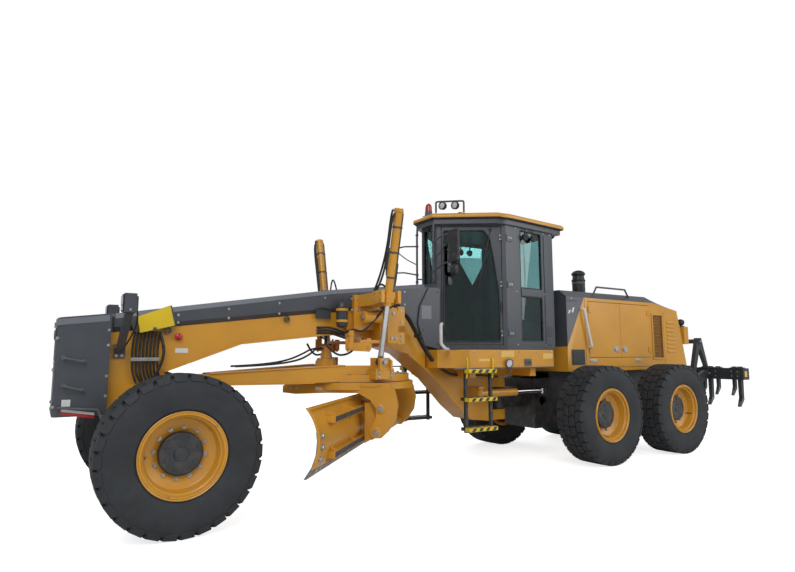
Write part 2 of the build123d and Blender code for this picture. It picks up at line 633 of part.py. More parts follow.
with BuildPart() as ripper_rod:
    with Locations(ripper_plane.offset(75)):
        Cylinder(RIPPER_ROD_RADIUS, ripper_run.length - 75, align=upwards)
    round_bar(apex - Vector(0, 34, 0), apex + Vector(0, 34, 0), 38)
export(ripper_rod, "ripper_rod")

# ---------------------------------------------------------------- front frame
frame_y = (-FRAME_HALF, FRAME_HALF)
channel_y = (FRAME_PLATE - FRAME_HALF, FRAME_HALF - FRAME_PLATE)
slot_z = (FRAME_SIDE[-2][1], CHANNEL_Z[0] - 20)

with BuildPart() as front_frame:
    side_plate(side_view(FRAME_SIDE), frame_y)
    # axle slot, and channel for the drawbar's nose
    block((behind(AXLE_SLOT_HALF), behind(-AXLE_SLOT_HALF)), frame_y, slot_z, Mode.SUBTRACT)
    block((behind(CHANNEL_BEHIND), behind(HITCH_BEHIND)), channel_y, CHANNEL_Z, Mode.SUBTRACT)
    with Locations((behind(HITCH_BEHIND), 0, HITCH_Z)):
        Sphere(BALL_RADIUS + BALL_CLEARANCE, mode=Mode.SUBTRACT)
    round_bar((behind(CHANNEL_BEHIND), 0, AXLE_PIVOT_Z), (behind(-CHANNEL_BEHIND), 0, AXLE_PIVOT_Z),
              AXLE_PIN_RADIUS)
    for lug in (LUG_LOW, LUG_HIGH):
        block((behind(ARTICULATION_BEHIND), behind(LUG_ROOT_BEHIND)), (-LUG_RADIUS, LUG_RADIUS), lug)
        round_bar((behind(ARTICULATION_BEHIND), 0, lug[0]), (behind(ARTICULATION_BEHIND), 0, lug[1]),
                  LUG_RADIUS)
    round_bar((behind(ARTICULATION_BEHIND), 0, LUG_LOW[0]), (behind(ARTICULATION_BEHIND), 0, LUG_HIGH[1]),
              HITCH_PIN_RADIUS)
    # cross beams under the cab and lugs for the articulation cylinders
    for back in CROSS_BEAMS_BEHIND:
        block((behind(back + 100), behind(back)), (-CROSS_BEAM_HALF, CROSS_BEAM_HALF),
              (LUG_HIGH[1] + 20, BASE_BOTTOM))
    pin_x = (behind(BARREL_PIN[0] + ARTICULATION_LUG), behind(BARREL_PIN[0] - ARTICULATION_LUG))
    for side in (1, -1):
        for z_low in (ARTICULATION_CYLINDER_Z - 90, ARTICULATION_CYLINDER_Z + 60):
            block(pin_x, between(side, FRAME_HALF, BARREL_PIN[1] + ARTICULATION_LUG),
                  (z_low, z_low + LUG_PLATE))
export(front_frame, "front_frame")

with BuildPart() as front_covers:
    side_plate(side_view(COVER_SIDE), (-COVER_HALF, COVER_HALF))
    top_edges = front_covers.edges().filter_by(GeomType.LINE).filter_by(lambda edge: (
        abs(abs(edge.center().Y) - COVER_HALF) < 1 and edge.bounding_box().size.Y < 1
        and min(vertex.Z for vertex in edge.vertices()) > COVER_SIDE[-1][1] - 1
        and edge.bounding_box().size.X > 500))
    chamfer(top_edges, length=COVER_CHAMFER)
    side_plate(side_view(NOSE_SIDE), (-NOSE_HALF, NOSE_HALF))
    nose_edges = front_covers.edges().filter_by(Axis.Z).sort_by(Axis.X)[-2:]
    chamfer(nose_edges, length=NOSE_CHAMFER)
    # storage box on the cover's left side
    side_plate(side_view(SIDE_BOX), (COVER_HALF - OVERCUT, COVER_HALF + SIDE_BOX_OUT))
    nose_x = behind(NOSE_SIDE[1][0])
    for y in (-NOSE_BOLT_Y, NOSE_BOLT_Y):
        for z in NOSE_BOLT_Z:
            round_bar((nose_x, y, z), (nose_x - NOSE_BOLT_DEPTH, y, z), NOSE_BOLT_RADIUS, Mode.SUBTRACT)
export(front_covers, "front_covers")

with BuildPart() as headlamps:
    for side in (1, -1):
        block((behind(-360), behind(-460)), between(side, FRAME_HALF, FRAME_HALF + 20), (1440, 1570))
        square_bar((behind(-410), side * (FRAME_HALF + 15), 1500), (behind(-400), side * 690, 1850), 70, 40)
        block((behind(-350), behind(-450)), between(side, 630, 770), (1840, 2010))
export(headlamps, "headlamps")

trunnion_y, trunnion_z = LIFT_TRUNNION
saddle_z = (trunnion_z - 350, trunnion_z - 150, trunnion_z - 80, trunnion_z + 60)
cover_side = COVER_HALF + 1

with BuildPart() as lift_saddle:
    for side in (1, -1):
        # plate on the beam, upright on the cover's side, arm and fork of the trunnion
        block((behind(LIFT_BEHIND + 280), behind(LIFT_BEHIND - 220)), between(side, FRAME_HALF, cover_side),
              saddle_z[:2])
        block((behind(LIFT_BEHIND + 200), behind(LIFT_BEHIND - 150)),
              between(side, cover_side, cover_side + 60),
              (saddle_z[0], saddle_z[3]))
        block((behind(LIFT_BEHIND + 100), behind(LIFT_BEHIND - 100)),
              between(side, cover_side, trunnion_y - 90),
              (saddle_z[2], saddle_z[3]))
        block((behind(LIFT_BEHIND + 130), behind(LIFT_BEHIND - 130)),
              between(side, trunnion_y - 140, trunnion_y - 90), (saddle_z[2], saddle_z[3]))
        for back in (LIFT_BEHIND - 127, LIFT_BEHIND + 87):
            block((behind(back + 40), behind(back)), between(side, trunnion_y - 140, trunnion_y + 70),
                  (trunnion_z - 70, trunnion_z + 70))
        # tube and leg that carry the pivots of the lift arms
        round_bar((behind(LIFT_BEHIND + 280), side * 420, 1900),
                  (behind(LIFT_BEHIND - 60), side * 420, 1900), 65)
        block((behind(LIFT_BEHIND + 200), behind(LIFT_BEHIND + 130)), between(side, cover_side, 430),
              (1560, 2000))
export(lift_saddle, "lift_saddle")

# ---------------------------------------------------------------- axle and steering
with BuildPart() as front_axle:
    block((behind(AXLE_BEAM_HALF), behind(-AXLE_BEAM_HALF)), (40 - KINGPIN_Y, KINGPIN_Y - 40), AXLE_BEAM_Z)
    round_bar((behind(AXLE_SLOT_HALF - 5), 0, AXLE_PIVOT_Z), (behind(5 - AXLE_SLOT_HALF), 0, AXLE_PIVOT_Z),
              AXLE_PIVOT_RADIUS)
    round_bar((behind(AXLE_SLOT_HALF), 0, AXLE_PIVOT_Z), (behind(-AXLE_SLOT_HALF), 0, AXLE_PIVOT_Z),
              AXLE_PIN_RADIUS + PIN_CLEARANCE, Mode.SUBTRACT)
    for side in (1, -1):
        boss_low = (behind(0), side * KINGPIN_Y, KINGPIN_Z[0])
        boss_high = (behind(0), side * KINGPIN_Y, KINGPIN_Z[1])
        round_bar(boss_low, boss_high, KINGPIN_BOSS_RADIUS)
        block((behind(70), behind(-70)), between(side, KINGPIN_Y - 160, KINGPIN_Y - 40),
              (KINGPIN_Z[0] + 20, KINGPIN_Z[1] - 20))
        round_bar(boss_low, boss_high, KINGPIN_RADIUS + PIN_CLEARANCE, Mode.SUBTRACT)
export(front_axle, "front_axle")

fork_low = KINGPIN_Z[0] - CLEARANCE - FORK_THICKNESS
fork_high = KINGPIN_Z[1] + CLEARANCE
for side_name, side in (("left", 1), ("right", -1)):
    with BuildPart() as knuckle:
        kingpin_y = side * KINGPIN_Y
        fork_x = (behind(KINGPIN_BOSS_RADIUS), behind(-KINGPIN_BOSS_RADIUS))
        for z_low in (fork_low, fork_high):
            round_bar((behind(0), kingpin_y, z_low), (behind(0), kingpin_y, z_low + FORK_THICKNESS),
                      KINGPIN_BOSS_RADIUS)
            block(fork_x, between(side, KINGPIN_Y, FORK_Y[1]), (z_low, z_low + FORK_THICKNESS))
        block(fork_x, between(side, *FORK_Y), (fork_low, fork_high + FORK_THICKNESS))
        round_bar((behind(0), kingpin_y, fork_low), (behind(0), kingpin_y, fork_high + FORK_THICKNESS),
                  KINGPIN_RADIUS)
        round_bar((behind(0), side * FORK_Y[1], AXLE_Z), (behind(0), side * spindle_end, AXLE_Z),
                  SPINDLE_RADIUS)
        # steering arm with its pin
        block((behind(STEER_ARM), behind(0)), (kingpin_y - STEER_ARM_HALF, kingpin_y + STEER_ARM_HALF),
              STEER_ARM_Z)
        round_bar((behind(STEER_ARM), kingpin_y, STEER_ARM_Z[0]),
                  (behind(STEER_ARM), kingpin_y, STEER_ARM_Z[1]),
                  STEER_ARM_HALF)
        round_bar((behind(STEER_ARM), kingpin_y, STEER_ARM_Z[0]),
                  (behind(STEER_ARM), kingpin_y, TIE_ROD_Z + 25),
                  STEER_PIN_RADIUS)
    export(knuckle, "knuckle_" + side_name)

with BuildPart() as tie_rod:
    rod_end = KINGPIN_Y - 25
    round_bar((behind(STEER_ARM), -rod_end, TIE_ROD_Z), (behind(STEER_ARM), rod_end, TIE_ROD_Z),
              TIE_ROD_RADIUS)
    for side in (1, -1):
        eye_y = side * KINGPIN_Y
        round_bar((behind(STEER_ARM), eye_y, TIE_ROD_Z - 25), (behind(STEER_ARM), eye_y, TIE_ROD_Z + 25),
                  TIE_ROD_EYE_RADIUS)
        round_bar((behind(STEER_ARM), eye_y, TIE_ROD_Z - 30), (behind(STEER_ARM), eye_y, TIE_ROD_Z + 30),
                  STEER_PIN_RADIUS + PIN_CLEARANCE, Mode.SUBTRACT)
export(tie_rod, "tie_rod")

# ---------------------------------------------------------------- articulation cylinders
for side_name, side in (("left", 1), ("right", -1)):
    front_pin = Vector(behind(BARREL_PIN[0]), side * BARREL_PIN[1], ARTICULATION_CYLINDER_Z)
    rear_eye = Vector(behind(ROD_EYE[0]), side * ROD_EYE[1], ARTICULATION_CYLINDER_Z)
    run = rear_eye - front_pin
    start = Plane(origin=front_pin, x_dir=(0, 0, 1), z_dir=run)
    with BuildPart() as articulation_barrel:
        with Locations(start):
            Cylinder(ARTICULATION_BARREL_RADIUS, ARTICULATION_BARREL_LENGTH, align=upwards)
        with Locations(start.offset(60)):
            Cylinder(ARTICULATION_ROD_RADIUS + 3, ARTICULATION_BARREL_LENGTH, align=upwards,
                     mode=Mode.SUBTRACT)
        round_bar(front_pin - Vector(0, 0, 56), front_pin + Vector(0, 0, 56), 45)
    export(articulation_barrel, "articulation_barrel_" + side_name)
    with BuildPart() as articulation_rod:
        with Locations(start.offset(300)):
            Cylinder(ARTICULATION_ROD_RADIUS, run.length - 300, align=upwards)
        round_bar(rear_eye - Vector(0, 0, 35), rear_eye + Vector(0, 0, 35), 42)
    export(articulation_rod, "articulation_rod_" + side_name)

# ---------------------------------------------------------------- drawbar and circle
disc_low = CIRCLE_Z[1] + DRAWBAR_GAP
beam_z = (HITCH_Z + 40, DRAWBAR_DISC_TOP + 17)

with BuildPart() as drawbar:
    with Locations((behind(HITCH_BEHIND), 0, HITCH_Z)):
        Sphere(BALL_RADIUS)
    round_bar((behind(HITCH_BEHIND), 0, HITCH_Z), (behind(HITCH_BEHIND + 120), 0, HITCH_Z + 8), 35)
    square_bar((behind(HITCH_BEHIND + 100), 0, HITCH_Z + 6), (behind(350), 0, beam_z[0] + 10), DRAWBAR_TUBE,
               DRAWBAR_TUBE)
    beam_run = [(200, 30, beam_z[0]), (1900, 430, beam_z[1]), (LIFT_BEHIND, 540, beam_z[1])]
    for side in (1, -1):
        for first, second in zip(beam_run, beam_run[1:]):
            square_bar((behind(first[0]), side * first[1], first[2]),
                       (behind(second[0]), side * second[1], second[2]),
                       *DRAWBAR_BEAM)
    block((behind(CROSS_BEAM_BEHIND[1]), behind(CROSS_BEAM_BEHIND[0])), (-CROSS_BEAM_REACH, CROSS_BEAM_REACH),
          CROSS_BEAM_Z)
    round_bar((behind(CIRCLE_BEHIND), 0, disc_low), (behind(CIRCLE_BEHIND), 0, DRAWBAR_DISC_TOP),
              DRAWBAR_DISC_RADIUS)
    block((behind(3000), behind(200)), (-900, 900), (1000, disc_low), Mode.SUBTRACT)
    ball_y, ball_z = LIFT_BALL
    for side in (1, -1):
        for y_low in (ball_y - LIFT_LUG_GAP - LIFT_LUG_PLATE - 30, ball_y + LIFT_LUG_GAP + 30):
            block((behind(LIFT_BEHIND + 70), behind(LIFT_BEHIND - 70)),
                  between(side, y_low, y_low + LIFT_LUG_PLATE),
                  (CROSS_BEAM_Z[1], ball_z + 45))
export(drawbar, "drawbar")

with BuildPart() as circle_drive:
    round_bar((behind(DRIVE_BEHIND), 0, DRAWBAR_DISC_TOP), (behind(DRIVE_BEHIND), 0, DRIVE_TOP), DRIVE_RADIUS)
    round_bar((behind(DRIVE_BEHIND), 0, DRIVE_TOP), (behind(DRIVE_BEHIND), 0, DRIVE_TOP + 60),
              DRIVE_RADIUS - 45)
export(circle_drive, "circle_drive")

yaw = math.radians(CIRCLE_YAW)
circle_plane = Plane(origin=(behind(CIRCLE_BEHIND), 0, 0), x_dir=(math.cos(yaw), math.sin(yaw), 0),
                     z_dir=(0, 0, 1))


def across(y_high):
    """Plane at this place along the blade, its X forward of the blade and its Y up."""
    origin = circle_plane.from_local_coords(Vector(0, y_high, 0))
    return Plane(origin=origin, x_dir=circle_plane.x_dir, z_dir=-circle_plane.y_dir)


with BuildPart() as circle:
    ring_low = (behind(CIRCLE_BEHIND), 0, CIRCLE_Z[0])
    ring_high = (behind(CIRCLE_BEHIND), 0, CIRCLE_Z[1])
    round_bar(ring_low, ring_high, CIRCLE_OUTER)
    round_bar(ring_low, ring_high, CIRCLE_INNER, Mode.SUBTRACT)
    arm_thickness = ARM_Y[1] - ARM_Y[0]
    for y_high in (ARM_Y[1], -ARM_Y[0]):
        plate(across(y_high), ARM_SIDE, arm_thickness)
        with BuildSketch(across(y_high), mode=Mode.PRIVATE) as pin_hole:
            with Locations(PITCH_PIN):
                Circle(PITCH_PIN_RADIUS + PIN_CLEARANCE)
        extrude(pin_hole.sketch, amount=arm_thickness, mode=Mode.SUBTRACT)
export(circle, "circle")

# the blade's section is an arc, hollow side forward
edge_low = BLADE_BOTTOM - EDGE_DROP
half_chord = (BLADE_TOP - edge_low) / 2
blade_back = BLADE_EDGE_X - BLADE_RADIUS + math.sqrt(BLADE_RADIUS ** 2 - half_chord ** 2)
middle_z = (BLADE_TOP + edge_low) / 2
back_radius = BLADE_RADIUS + BLADE_THICKNESS
blade_left = BLADE_LENGTH / 2 + BLADE_SHIFT
rail_back = blade_back - BLADE_THICKNESS - SLIDE_RAIL[0]


def blade_x(z, radius):
    """Forward place of the blade's arc at a height."""
    return blade_back + BLADE_RADIUS - math.sqrt(radius ** 2 - (z - middle_z) ** 2)


with BuildPart() as moldboard:
    with BuildSketch(across(blade_left)):
        with BuildLine():
            low_front = (blade_x(BLADE_BOTTOM, BLADE_RADIUS), BLADE_BOTTOM)
            top_front = (blade_x(BLADE_TOP, BLADE_RADIUS), BLADE_TOP)
            top_back = (blade_x(BLADE_TOP, back_radius), BLADE_TOP)
            low_back = (blade_x(BLADE_BOTTOM, back_radius), BLADE_BOTTOM)
            ThreePointArc(low_front, (blade_back, middle_z), top_front)
            Line(top_front, top_back)
            ThreePointArc(top_back, (blade_back - BLADE_THICKNESS, middle_z), low_back)
            Line(low_back, low_front)
        make_face()
    extrude(amount=BLADE_LENGTH)
    # two slide rails on the back
    for z in SLIDE_RAIL_HEIGHTS:
        rail_z = (z - SLIDE_RAIL[1] / 2, z + SLIDE_RAIL[1] / 2)
        rail_front = blade_x(z, back_radius) + 15
        plate(across(SLIDE_RAIL_LENGTH / 2), [(rail_front, rail_z[0]), (rail_front, rail_z[1]),
                                              (rail_back, rail_z[1]), (rail_back,
                                                                       rail_z[0])], SLIDE_RAIL_LENGTH)
export(moldboard, "moldboard")

with BuildPart() as cutting_edge:
    top_x = blade_x(BLADE_BOTTOM, BLADE_RADIUS)
    low_x = blade_x(edge_low, BLADE_RADIUS)
    plate(across(blade_left),
          [(top_x - BLADE_THICKNESS, BLADE_BOTTOM), (top_x, BLADE_BOTTOM), (low_x + 5, edge_low),
                               (low_x - BLADE_THICKNESS, edge_low)], BLADE_LENGTH)
export(cutting_edge, "cutting_edge")

pin_x, pin_z = PITCH_PIN
with BuildPart() as blade_carrier:
    # pitch tube with its pins, and a claw plate at each end that holds both rails
    for reach, radius in ((ARM_Y[1], PITCH_PIN_RADIUS), (ARM_Y[0] - CLEARANCE, PITCH_TUBE_RADIUS)):
        round_bar(circle_plane.from_local_coords(Vector(pin_x, reach, pin_z)),
                  circle_plane.from_local_coords(Vector(pin_x, -reach, pin_z)), radius)
    claw_front = rail_back - CLEARANCE
    claw_side = [(pin_x, pin_z - 50), (claw_front, SLIDE_RAIL_HEIGHTS[0] - 60),
                 (claw_front, SLIDE_RAIL_HEIGHTS[1] + 60),
                 (claw_front - 54, SLIDE_RAIL_HEIGHTS[1] + 60), (pin_x, pin_z + 70)]
    for y_high in (ARM_Y[0] - 20, CLAW_WIDTH + 20 - ARM_Y[0]):
        plate(across(y_high), claw_side, CLAW_WIDTH)
export(blade_carrier, "blade_carrier")

# ---------------------------------------------------------------- lift cylinders
for side_name, side in (("left", 1), ("right", -1)):
    trunnion = Vector(behind(LIFT_BEHIND), side * trunnion_y, trunnion_z)
    ball = Vector(behind(LIFT_BEHIND), side * ball_y, ball_z)
    rod_reach = (trunnion - ball).length
    up = Plane(origin=trunnion, x_dir=(1, 0, 0), z_dir=trunnion - ball)
    barrel_length = LIFT_BARREL_DOWN + LIFT_BARREL_UP
    with BuildPart() as lift_barrel:
        with Locations(up.offset(-LIFT_BARREL_DOWN)):
            Box(LIFT_BARREL_WIDTH, LIFT_BARREL_WIDTH, barrel_length, align=upwards)
        round_bar(trunnion - Vector(LIFT_TRUNNION_HALF, 0, 0), trunnion + Vector(LIFT_TRUNNION_HALF, 0, 0),
                  LIFT_TRUNNION_RADIUS)
        with Locations(up.offset(-LIFT_BARREL_DOWN)):
            Cylinder(LIFT_ROD_RADIUS + 3, barrel_length - LIFT_BARREL_CAP, align=upwards, mode=Mode.SUBTRACT)
    export(lift_barrel, "lift_barrel_" + side_name)
    with BuildPart() as lift_rod:
        with Locations(up.offset(-rod_reach)):
            Cylinder(LIFT_ROD_RADIUS, rod_reach + LIFT_BARREL_UP - LIFT_ROD_SPARE, align=upwards)
        half_eye = Vector(0, LIFT_EYE_WIDTH / 2, 0)
        round_bar(ball - half_eye, ball + half_eye, LIFT_EYE_RADIUS)
    export(lift_rod, "lift_rod_" + side_name)

# ---------------------------------------------------------------- cab
cab_plan = full_plan(CAB_PLAN)


def wall_plane(start, end):
    """Plane on a wall between two plan points, X along the wall, Y up, Z outwards."""
    run = Vector(end[0] - start[0], end[1] - start[1], 0)
    outwards = run.normalized().cross(Vector(0, 0, 1))
    plane = Plane(origin=(start[0], start[1], 0), x_dir=run, z_dir=outwards)
    return plane, run.length


def rectangle(x, z):
    """Four corners in a wall, from the low and high value along it and up."""
    return [(x[0], z[0]), (x[1], z[0]), (x[1], z[1]), (x[0], z[1])]


def in_wall(plane, outline, depth, mode=Mode.ADD, inset=0):
    """Slab in a wall, this deep into it from this far inside its face."""
    plate(plane.offset(-inset), outline, -depth, mode)


wall_corners = {
    # wall name: its two plan corners, with the outside on the right of the run from first to second
    "front": (cab_plan[5], cab_plan[0]),
    "door_left": (cab_plan[0], cab_plan[1]),
    "side_left": (cab_plan[1], cab_plan[2]),
    "rear": (cab_plan[2], cab_plan[3]),
    "side_right": (cab_plan[3], cab_plan[4]),
    "door_right": (cab_plan[4], cab_plan[5]),
}
wall_planes = {}
wall_lengths = {}
for wall, corners in wall_corners.items():
    wall_planes[wall], wall_lengths[wall] = wall_plane(corners[0], corners[1])

window_high = CAB_TOP - 40
pane_z = (CAB_FLOOR + 120, 2250, 2370, window_high)
door_z = (CAB_FLOOR + 60, CAB_TOP - 20)
WINDOWS = [
    # wall, margin at its start, margin at its end, low, high
    ("front", 50, 50, pane_z[0], pane_z[3]),
    ("side_left", 290, 270, pane_z[2], pane_z[3]), ("side_left", 290, 270, pane_z[0], pane_z[1]),
    ("side_right", 270, 290, pane_z[2], pane_z[3]), ("side_right", 270, 290, pane_z[0], pane_z[1]),
    ("rear", 120, 120, pane_z[2], pane_z[3]),
]


def window_outline(wall, first_margin, last_margin, z_low, z_high):
    """Corners of a window in its wall."""
    return rectangle((first_margin, wall_lengths[wall] - last_margin), (z_low, z_high))


with BuildPart() as cab_shell:
    plate(Plane.XY.offset(CAB_FLOOR), cab_plan, CAB_TOP - CAB_FLOOR)
    with BuildSketch(Plane.XY.offset(CAB_FLOOR + CAB_WALL), mode=Mode.PRIVATE) as room:
        with BuildLine():
            Polyline(*cab_plan, close=True)
        make_face()
        offset(amount=-CAB_WALL, kind=Kind.INTERSECTION)
    extrude(room.sketch, amount=CAB_TOP - CAB_FLOOR, mode=Mode.SUBTRACT)
    # ceiling under the roof
    with BuildSketch(Plane.XY.offset(CAB_TOP), mode=Mode.PRIVATE) as ceiling:
        with BuildLine():
            Polyline(*full_plan(ROOF_PLAN), close=True)
        make_face()
        offset(amount=-ROOF_INSET, kind=Kind.INTERSECTION)
    extrude(ceiling.sketch, amount=ROOF_Z[0] - CAB_TOP)
    for window in WINDOWS:
        in_wall(wall_planes[window[0]], window_outline(*window), CAB_WALL * 1.5, Mode.SUBTRACT, -OVERCUT)
    for wall in ("door_left", "door_right"):
        opening = (DOOR_MARGIN, wall_lengths[wall] - DOOR_MARGIN)
        in_wall(wall_planes[wall], rectangle(opening, door_z), CAB_WALL * 1.5, Mode.SUBTRACT, -OVERCUT)
export(cab_shell, "cab_shell")

with BuildPart() as cab_glass:
    for window in WINDOWS:
        in_wall(wall_planes[window[0]], window_outline(*window), GLASS, inset=GLASS_INSET)
export(cab_glass, "cab_glass")

for side_name, side in (("left", 1), ("right", -1)):
    wall = "door_" + side_name
    # places along the wall, counted from the front corner of the cab
    length = wall_lengths[wall]
    leaf = (DOOR_MARGIN + CLEARANCE, length - DOOR_MARGIN - CLEARANCE)
    leaf_z = (door_z[0] + CLEARANCE, door_z[1] - CLEARANCE)
    pane_front = leaf[0] + 25
    pane_rear = leaf[1] - 35
    pane = [(pane_front, leaf_z[0] + 40), (pane_rear, leaf_z[0] + 40), (pane_rear, 2250),
            (pane_rear - 60, 2700),
            (pane_rear - 110, 3000), (pane_rear - 190, leaf_z[1] - 50), (pane_front, leaf_z[1] - 50)]
    leaf_outline = rectangle(leaf, leaf_z)
    hinge_along = length - DOOR_MARGIN
    leaf_reach = -1
    if side < 0:
        # this wall's own X runs forward, from the hinge to the cab's front
        pane = [(length - along, z) for along, z in pane]
        hinge_along = DOOR_MARGIN
        leaf_reach = 1
    with BuildPart() as cab_door:
        in_wall(wall_planes[wall], leaf_outline, CAB_WALL)
        in_wall(wall_planes[wall], pane, CAB_WALL * 1.5, Mode.SUBTRACT, -OVERCUT)
        for z_low in HINGE_HEIGHTS:
            z_high = z_low + HINGE_LENGTH
            round_bar(wall_planes[wall].from_local_coords(Vector(hinge_along, z_low, DOOR_HINGE_OUT)),
                      wall_planes[wall].from_local_coords(Vector(hinge_along, z_high,
                                                                 DOOR_HINGE_OUT)), HINGE_RADIUS)
            hinge_leaf = sorted((hinge_along + leaf_reach * 3, hinge_along + leaf_reach * 34))
            in_wall(wall_planes[wall], rectangle(hinge_leaf, (z_low, z_high)), DOOR_HINGE_OUT - 4,
                    inset=-DOOR_HINGE_OUT)
            hinge_root = sorted((hinge_along + leaf_reach * 12, hinge_along + leaf_reach * 34))
            in_wall(wall_planes[wall], rectangle(hinge_root, (z_low, z_high)), DOOR_HINGE_OUT + 5,
                    inset=-DOOR_HINGE_OUT)
    export(cab_door, "cab_" + wall)
    with BuildPart() as cab_door_glass:
        in_wall(wall_planes[wall], pane, GLASS, inset=GLASS_INSET)
    export(cab_door_glass, "cab_" + wall + "_glass")

with BuildPart() as cab_roof:
    plate(Plane.XY.offset(ROOF_Z[0]), full_plan(ROOF_PLAN), ROOF_Z[1] - ROOF_Z[0])
    chamfer(cab_roof.faces().sort_by(Axis.Z)[-1].edges(), length=25)
export(cab_roof, "cab_roof")

with BuildPart() as cab_base:
    plate(Plane.XY.offset(BASE_BOTTOM), full_plan(BASE_PLAN), CAB_FLOOR - BASE_BOTTOM)
export(cab_base, "cab_base")

with BuildPart() as cab_interior:
    floor = CAB_FLOOR + CAB_WALL
    # seat base, cushion and back, then the steering column and its wheel
    block((behind(4560), behind(4160)), (-200, 200), (floor, floor + 330))
    block((behind(4650), behind(4110)), (-260, 260), (floor + 330, floor + 460))
    block((behind(4760), behind(4640)), (-250, 250), (floor + 400, floor + 1080))
    block((behind(3720), behind(3520)), (-110, 110), (floor, floor + 500))
    round_bar((behind(3620), 0, floor + 450), (behind(3720), 0, floor + 720), 45)
    round_bar((behind(3715), 0, floor + 705), (behind(3730), 0, floor + 740), 200)
export(cab_interior, "cab_interior")

with BuildPart() as cab_steps:
    for side in (1, -1):
        for back in (3390, 3790):
            block((behind(back + 40), behind(back)), between(side, 660, 700), (520, BASE_BOTTOM))
        for z in (540, 900):
            block((behind(3830), behind(3390)), between(side, 600, 780), (z, z + 40))
export(cab_steps, "cab_steps")

with BuildPart() as cab_fittings:
    # rail with two work lamps along the roof's left front edge
    rail_ends = [(behind(3290), 260), (behind(3570), 500)]
    rail_top = 3510
    for x, y in rail_ends:
        round_bar((x, y, ROOF_Z[1]), (x, y, rail_top), HANDRAIL_RADIUS)
    round_bar((*rail_ends[0], rail_top), (*rail_ends[1], rail_top), HANDRAIL_RADIUS)
    for share in (0.25, 0.7):
        x = rail_ends[0][0] + share * (rail_ends[1][0] - rail_ends[0][0])
        y = rail_ends[0][1] + share * (rail_ends[1][1] - rail_ends[0][1])
        round_bar((x, y, 3440), (x, y, rail_top), HANDRAIL_RADIUS - 2)
        round_bar((x - 25, y - 25, 3440), (x + 30, y + 30, 3440), 50)
    round_bar((behind(3400), -60, ROOF_Z[1]), (behind(3400), -60, 3560), 55)
    # mirrors on a bent post at each front corner
    for side in (1, -1):
        post = (behind(3290), side * 190)
        round_bar((*post, 2420), (*post, CAB_TOP), HANDRAIL_RADIUS + 2)
        for z_post, z_mirror in ((2960, 2990), (2560, 2640)):
            round_bar((*post, z_post), (behind(3205), side * 690, z_mirror), HANDRAIL_RADIUS - 2)
        block((behind(3240), behind(3170)), between(side, 650, 850), (2600, 3020))
export(cab_fittings, "cab_fittings")
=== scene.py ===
"""Motor grader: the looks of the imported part, built piece by piece on its fixed frame."""

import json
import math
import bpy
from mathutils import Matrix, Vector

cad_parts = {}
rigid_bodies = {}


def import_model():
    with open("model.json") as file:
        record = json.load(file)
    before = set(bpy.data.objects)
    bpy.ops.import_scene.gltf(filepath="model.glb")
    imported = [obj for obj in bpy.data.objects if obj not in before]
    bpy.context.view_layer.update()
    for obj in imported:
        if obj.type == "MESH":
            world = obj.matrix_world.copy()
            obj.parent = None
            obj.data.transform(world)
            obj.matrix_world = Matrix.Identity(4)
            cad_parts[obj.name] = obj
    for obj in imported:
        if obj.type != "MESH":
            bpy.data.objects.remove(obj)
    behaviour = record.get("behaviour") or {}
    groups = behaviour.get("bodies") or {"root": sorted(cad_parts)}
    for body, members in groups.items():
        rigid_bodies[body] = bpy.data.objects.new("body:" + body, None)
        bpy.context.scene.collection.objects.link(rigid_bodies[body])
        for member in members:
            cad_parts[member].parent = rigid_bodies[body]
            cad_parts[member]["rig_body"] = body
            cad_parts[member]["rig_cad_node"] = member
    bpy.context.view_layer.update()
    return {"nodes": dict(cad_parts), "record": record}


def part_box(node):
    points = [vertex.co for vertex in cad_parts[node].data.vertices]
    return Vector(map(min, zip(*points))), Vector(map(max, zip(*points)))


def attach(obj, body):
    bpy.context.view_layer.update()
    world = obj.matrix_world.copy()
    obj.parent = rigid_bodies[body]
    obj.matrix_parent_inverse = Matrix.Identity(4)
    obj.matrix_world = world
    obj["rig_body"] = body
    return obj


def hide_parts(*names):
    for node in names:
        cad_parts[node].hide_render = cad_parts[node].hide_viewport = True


bl_info = {
    "name": "Motor grader",
    "version": (1, 0, 0),
    "blender": (4, 5, 0),
    "location": "View3D > Sidebar > Grader",
    "description": "Tyres, covers, cab, hoses and fittings of a motor grader with a ripper",
    "category": "Object",
}

import bpy
from mathutils import Matrix, Vector

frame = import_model()

# places taken from the frame, in metres
TYRE_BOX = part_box("tyre_front_left")
FRONT_AXLE_X = (TYRE_BOX[0].x + TYRE_BOX[1].x) / 2
WHEEL_RADIUS = TYRE_BOX[1].z / 2
CIRCLE_X = FRONT_AXLE_X - 2.25
CIRCLE_YAW = math.radians(-43.2)
WHEELS = ("front_left", "front_right", "middle_left", "middle_right", "rear_left", "rear_right")
UP = Vector((0, 0, 1))
BOTH_SIDES = (1, -1)
NAMED_SIDES = (("left", 1), ("right", -1))


def back(distance):
    """X of a place this far behind the front axle."""
    return FRONT_AXLE_X - distance


def spot(distance, y, z):
    """Point this far behind the front axle."""
    return Vector((back(distance), y, z))


def spots(*points):
    """Points of (behind, y, height)."""
    return [spot(*point) for point in points]


def on_side(side, *points):
    """The same on the left (1) or right (-1), with y as the distance from the middle."""
    return [spot(distance, side * y, z) for distance, y, z in points]


def in_plane(y, *points):
    """Points of (behind, height) that share their y."""
    return [spot(distance, y, z) for distance, z in points]


def flank(side, near, far):
    """Range of y between two distances from the middle, on the left (1) or right (-1)."""
    return sorted((side * near, side * far))


def on_circle(x, y, z):
    """Point given in the circle's own directions, X forward of the blade and Y along it."""
    cosine, sine = math.cos(CIRCLE_YAW), math.sin(CIRCLE_YAW)
    return Vector((CIRCLE_X + x * cosine - y * sine, x * sine + y * cosine, z))


def across_blade(y, *points):
    """Points of (x, height) that share their place along the blade."""
    return [on_circle(x, y, z) for x, z in points]


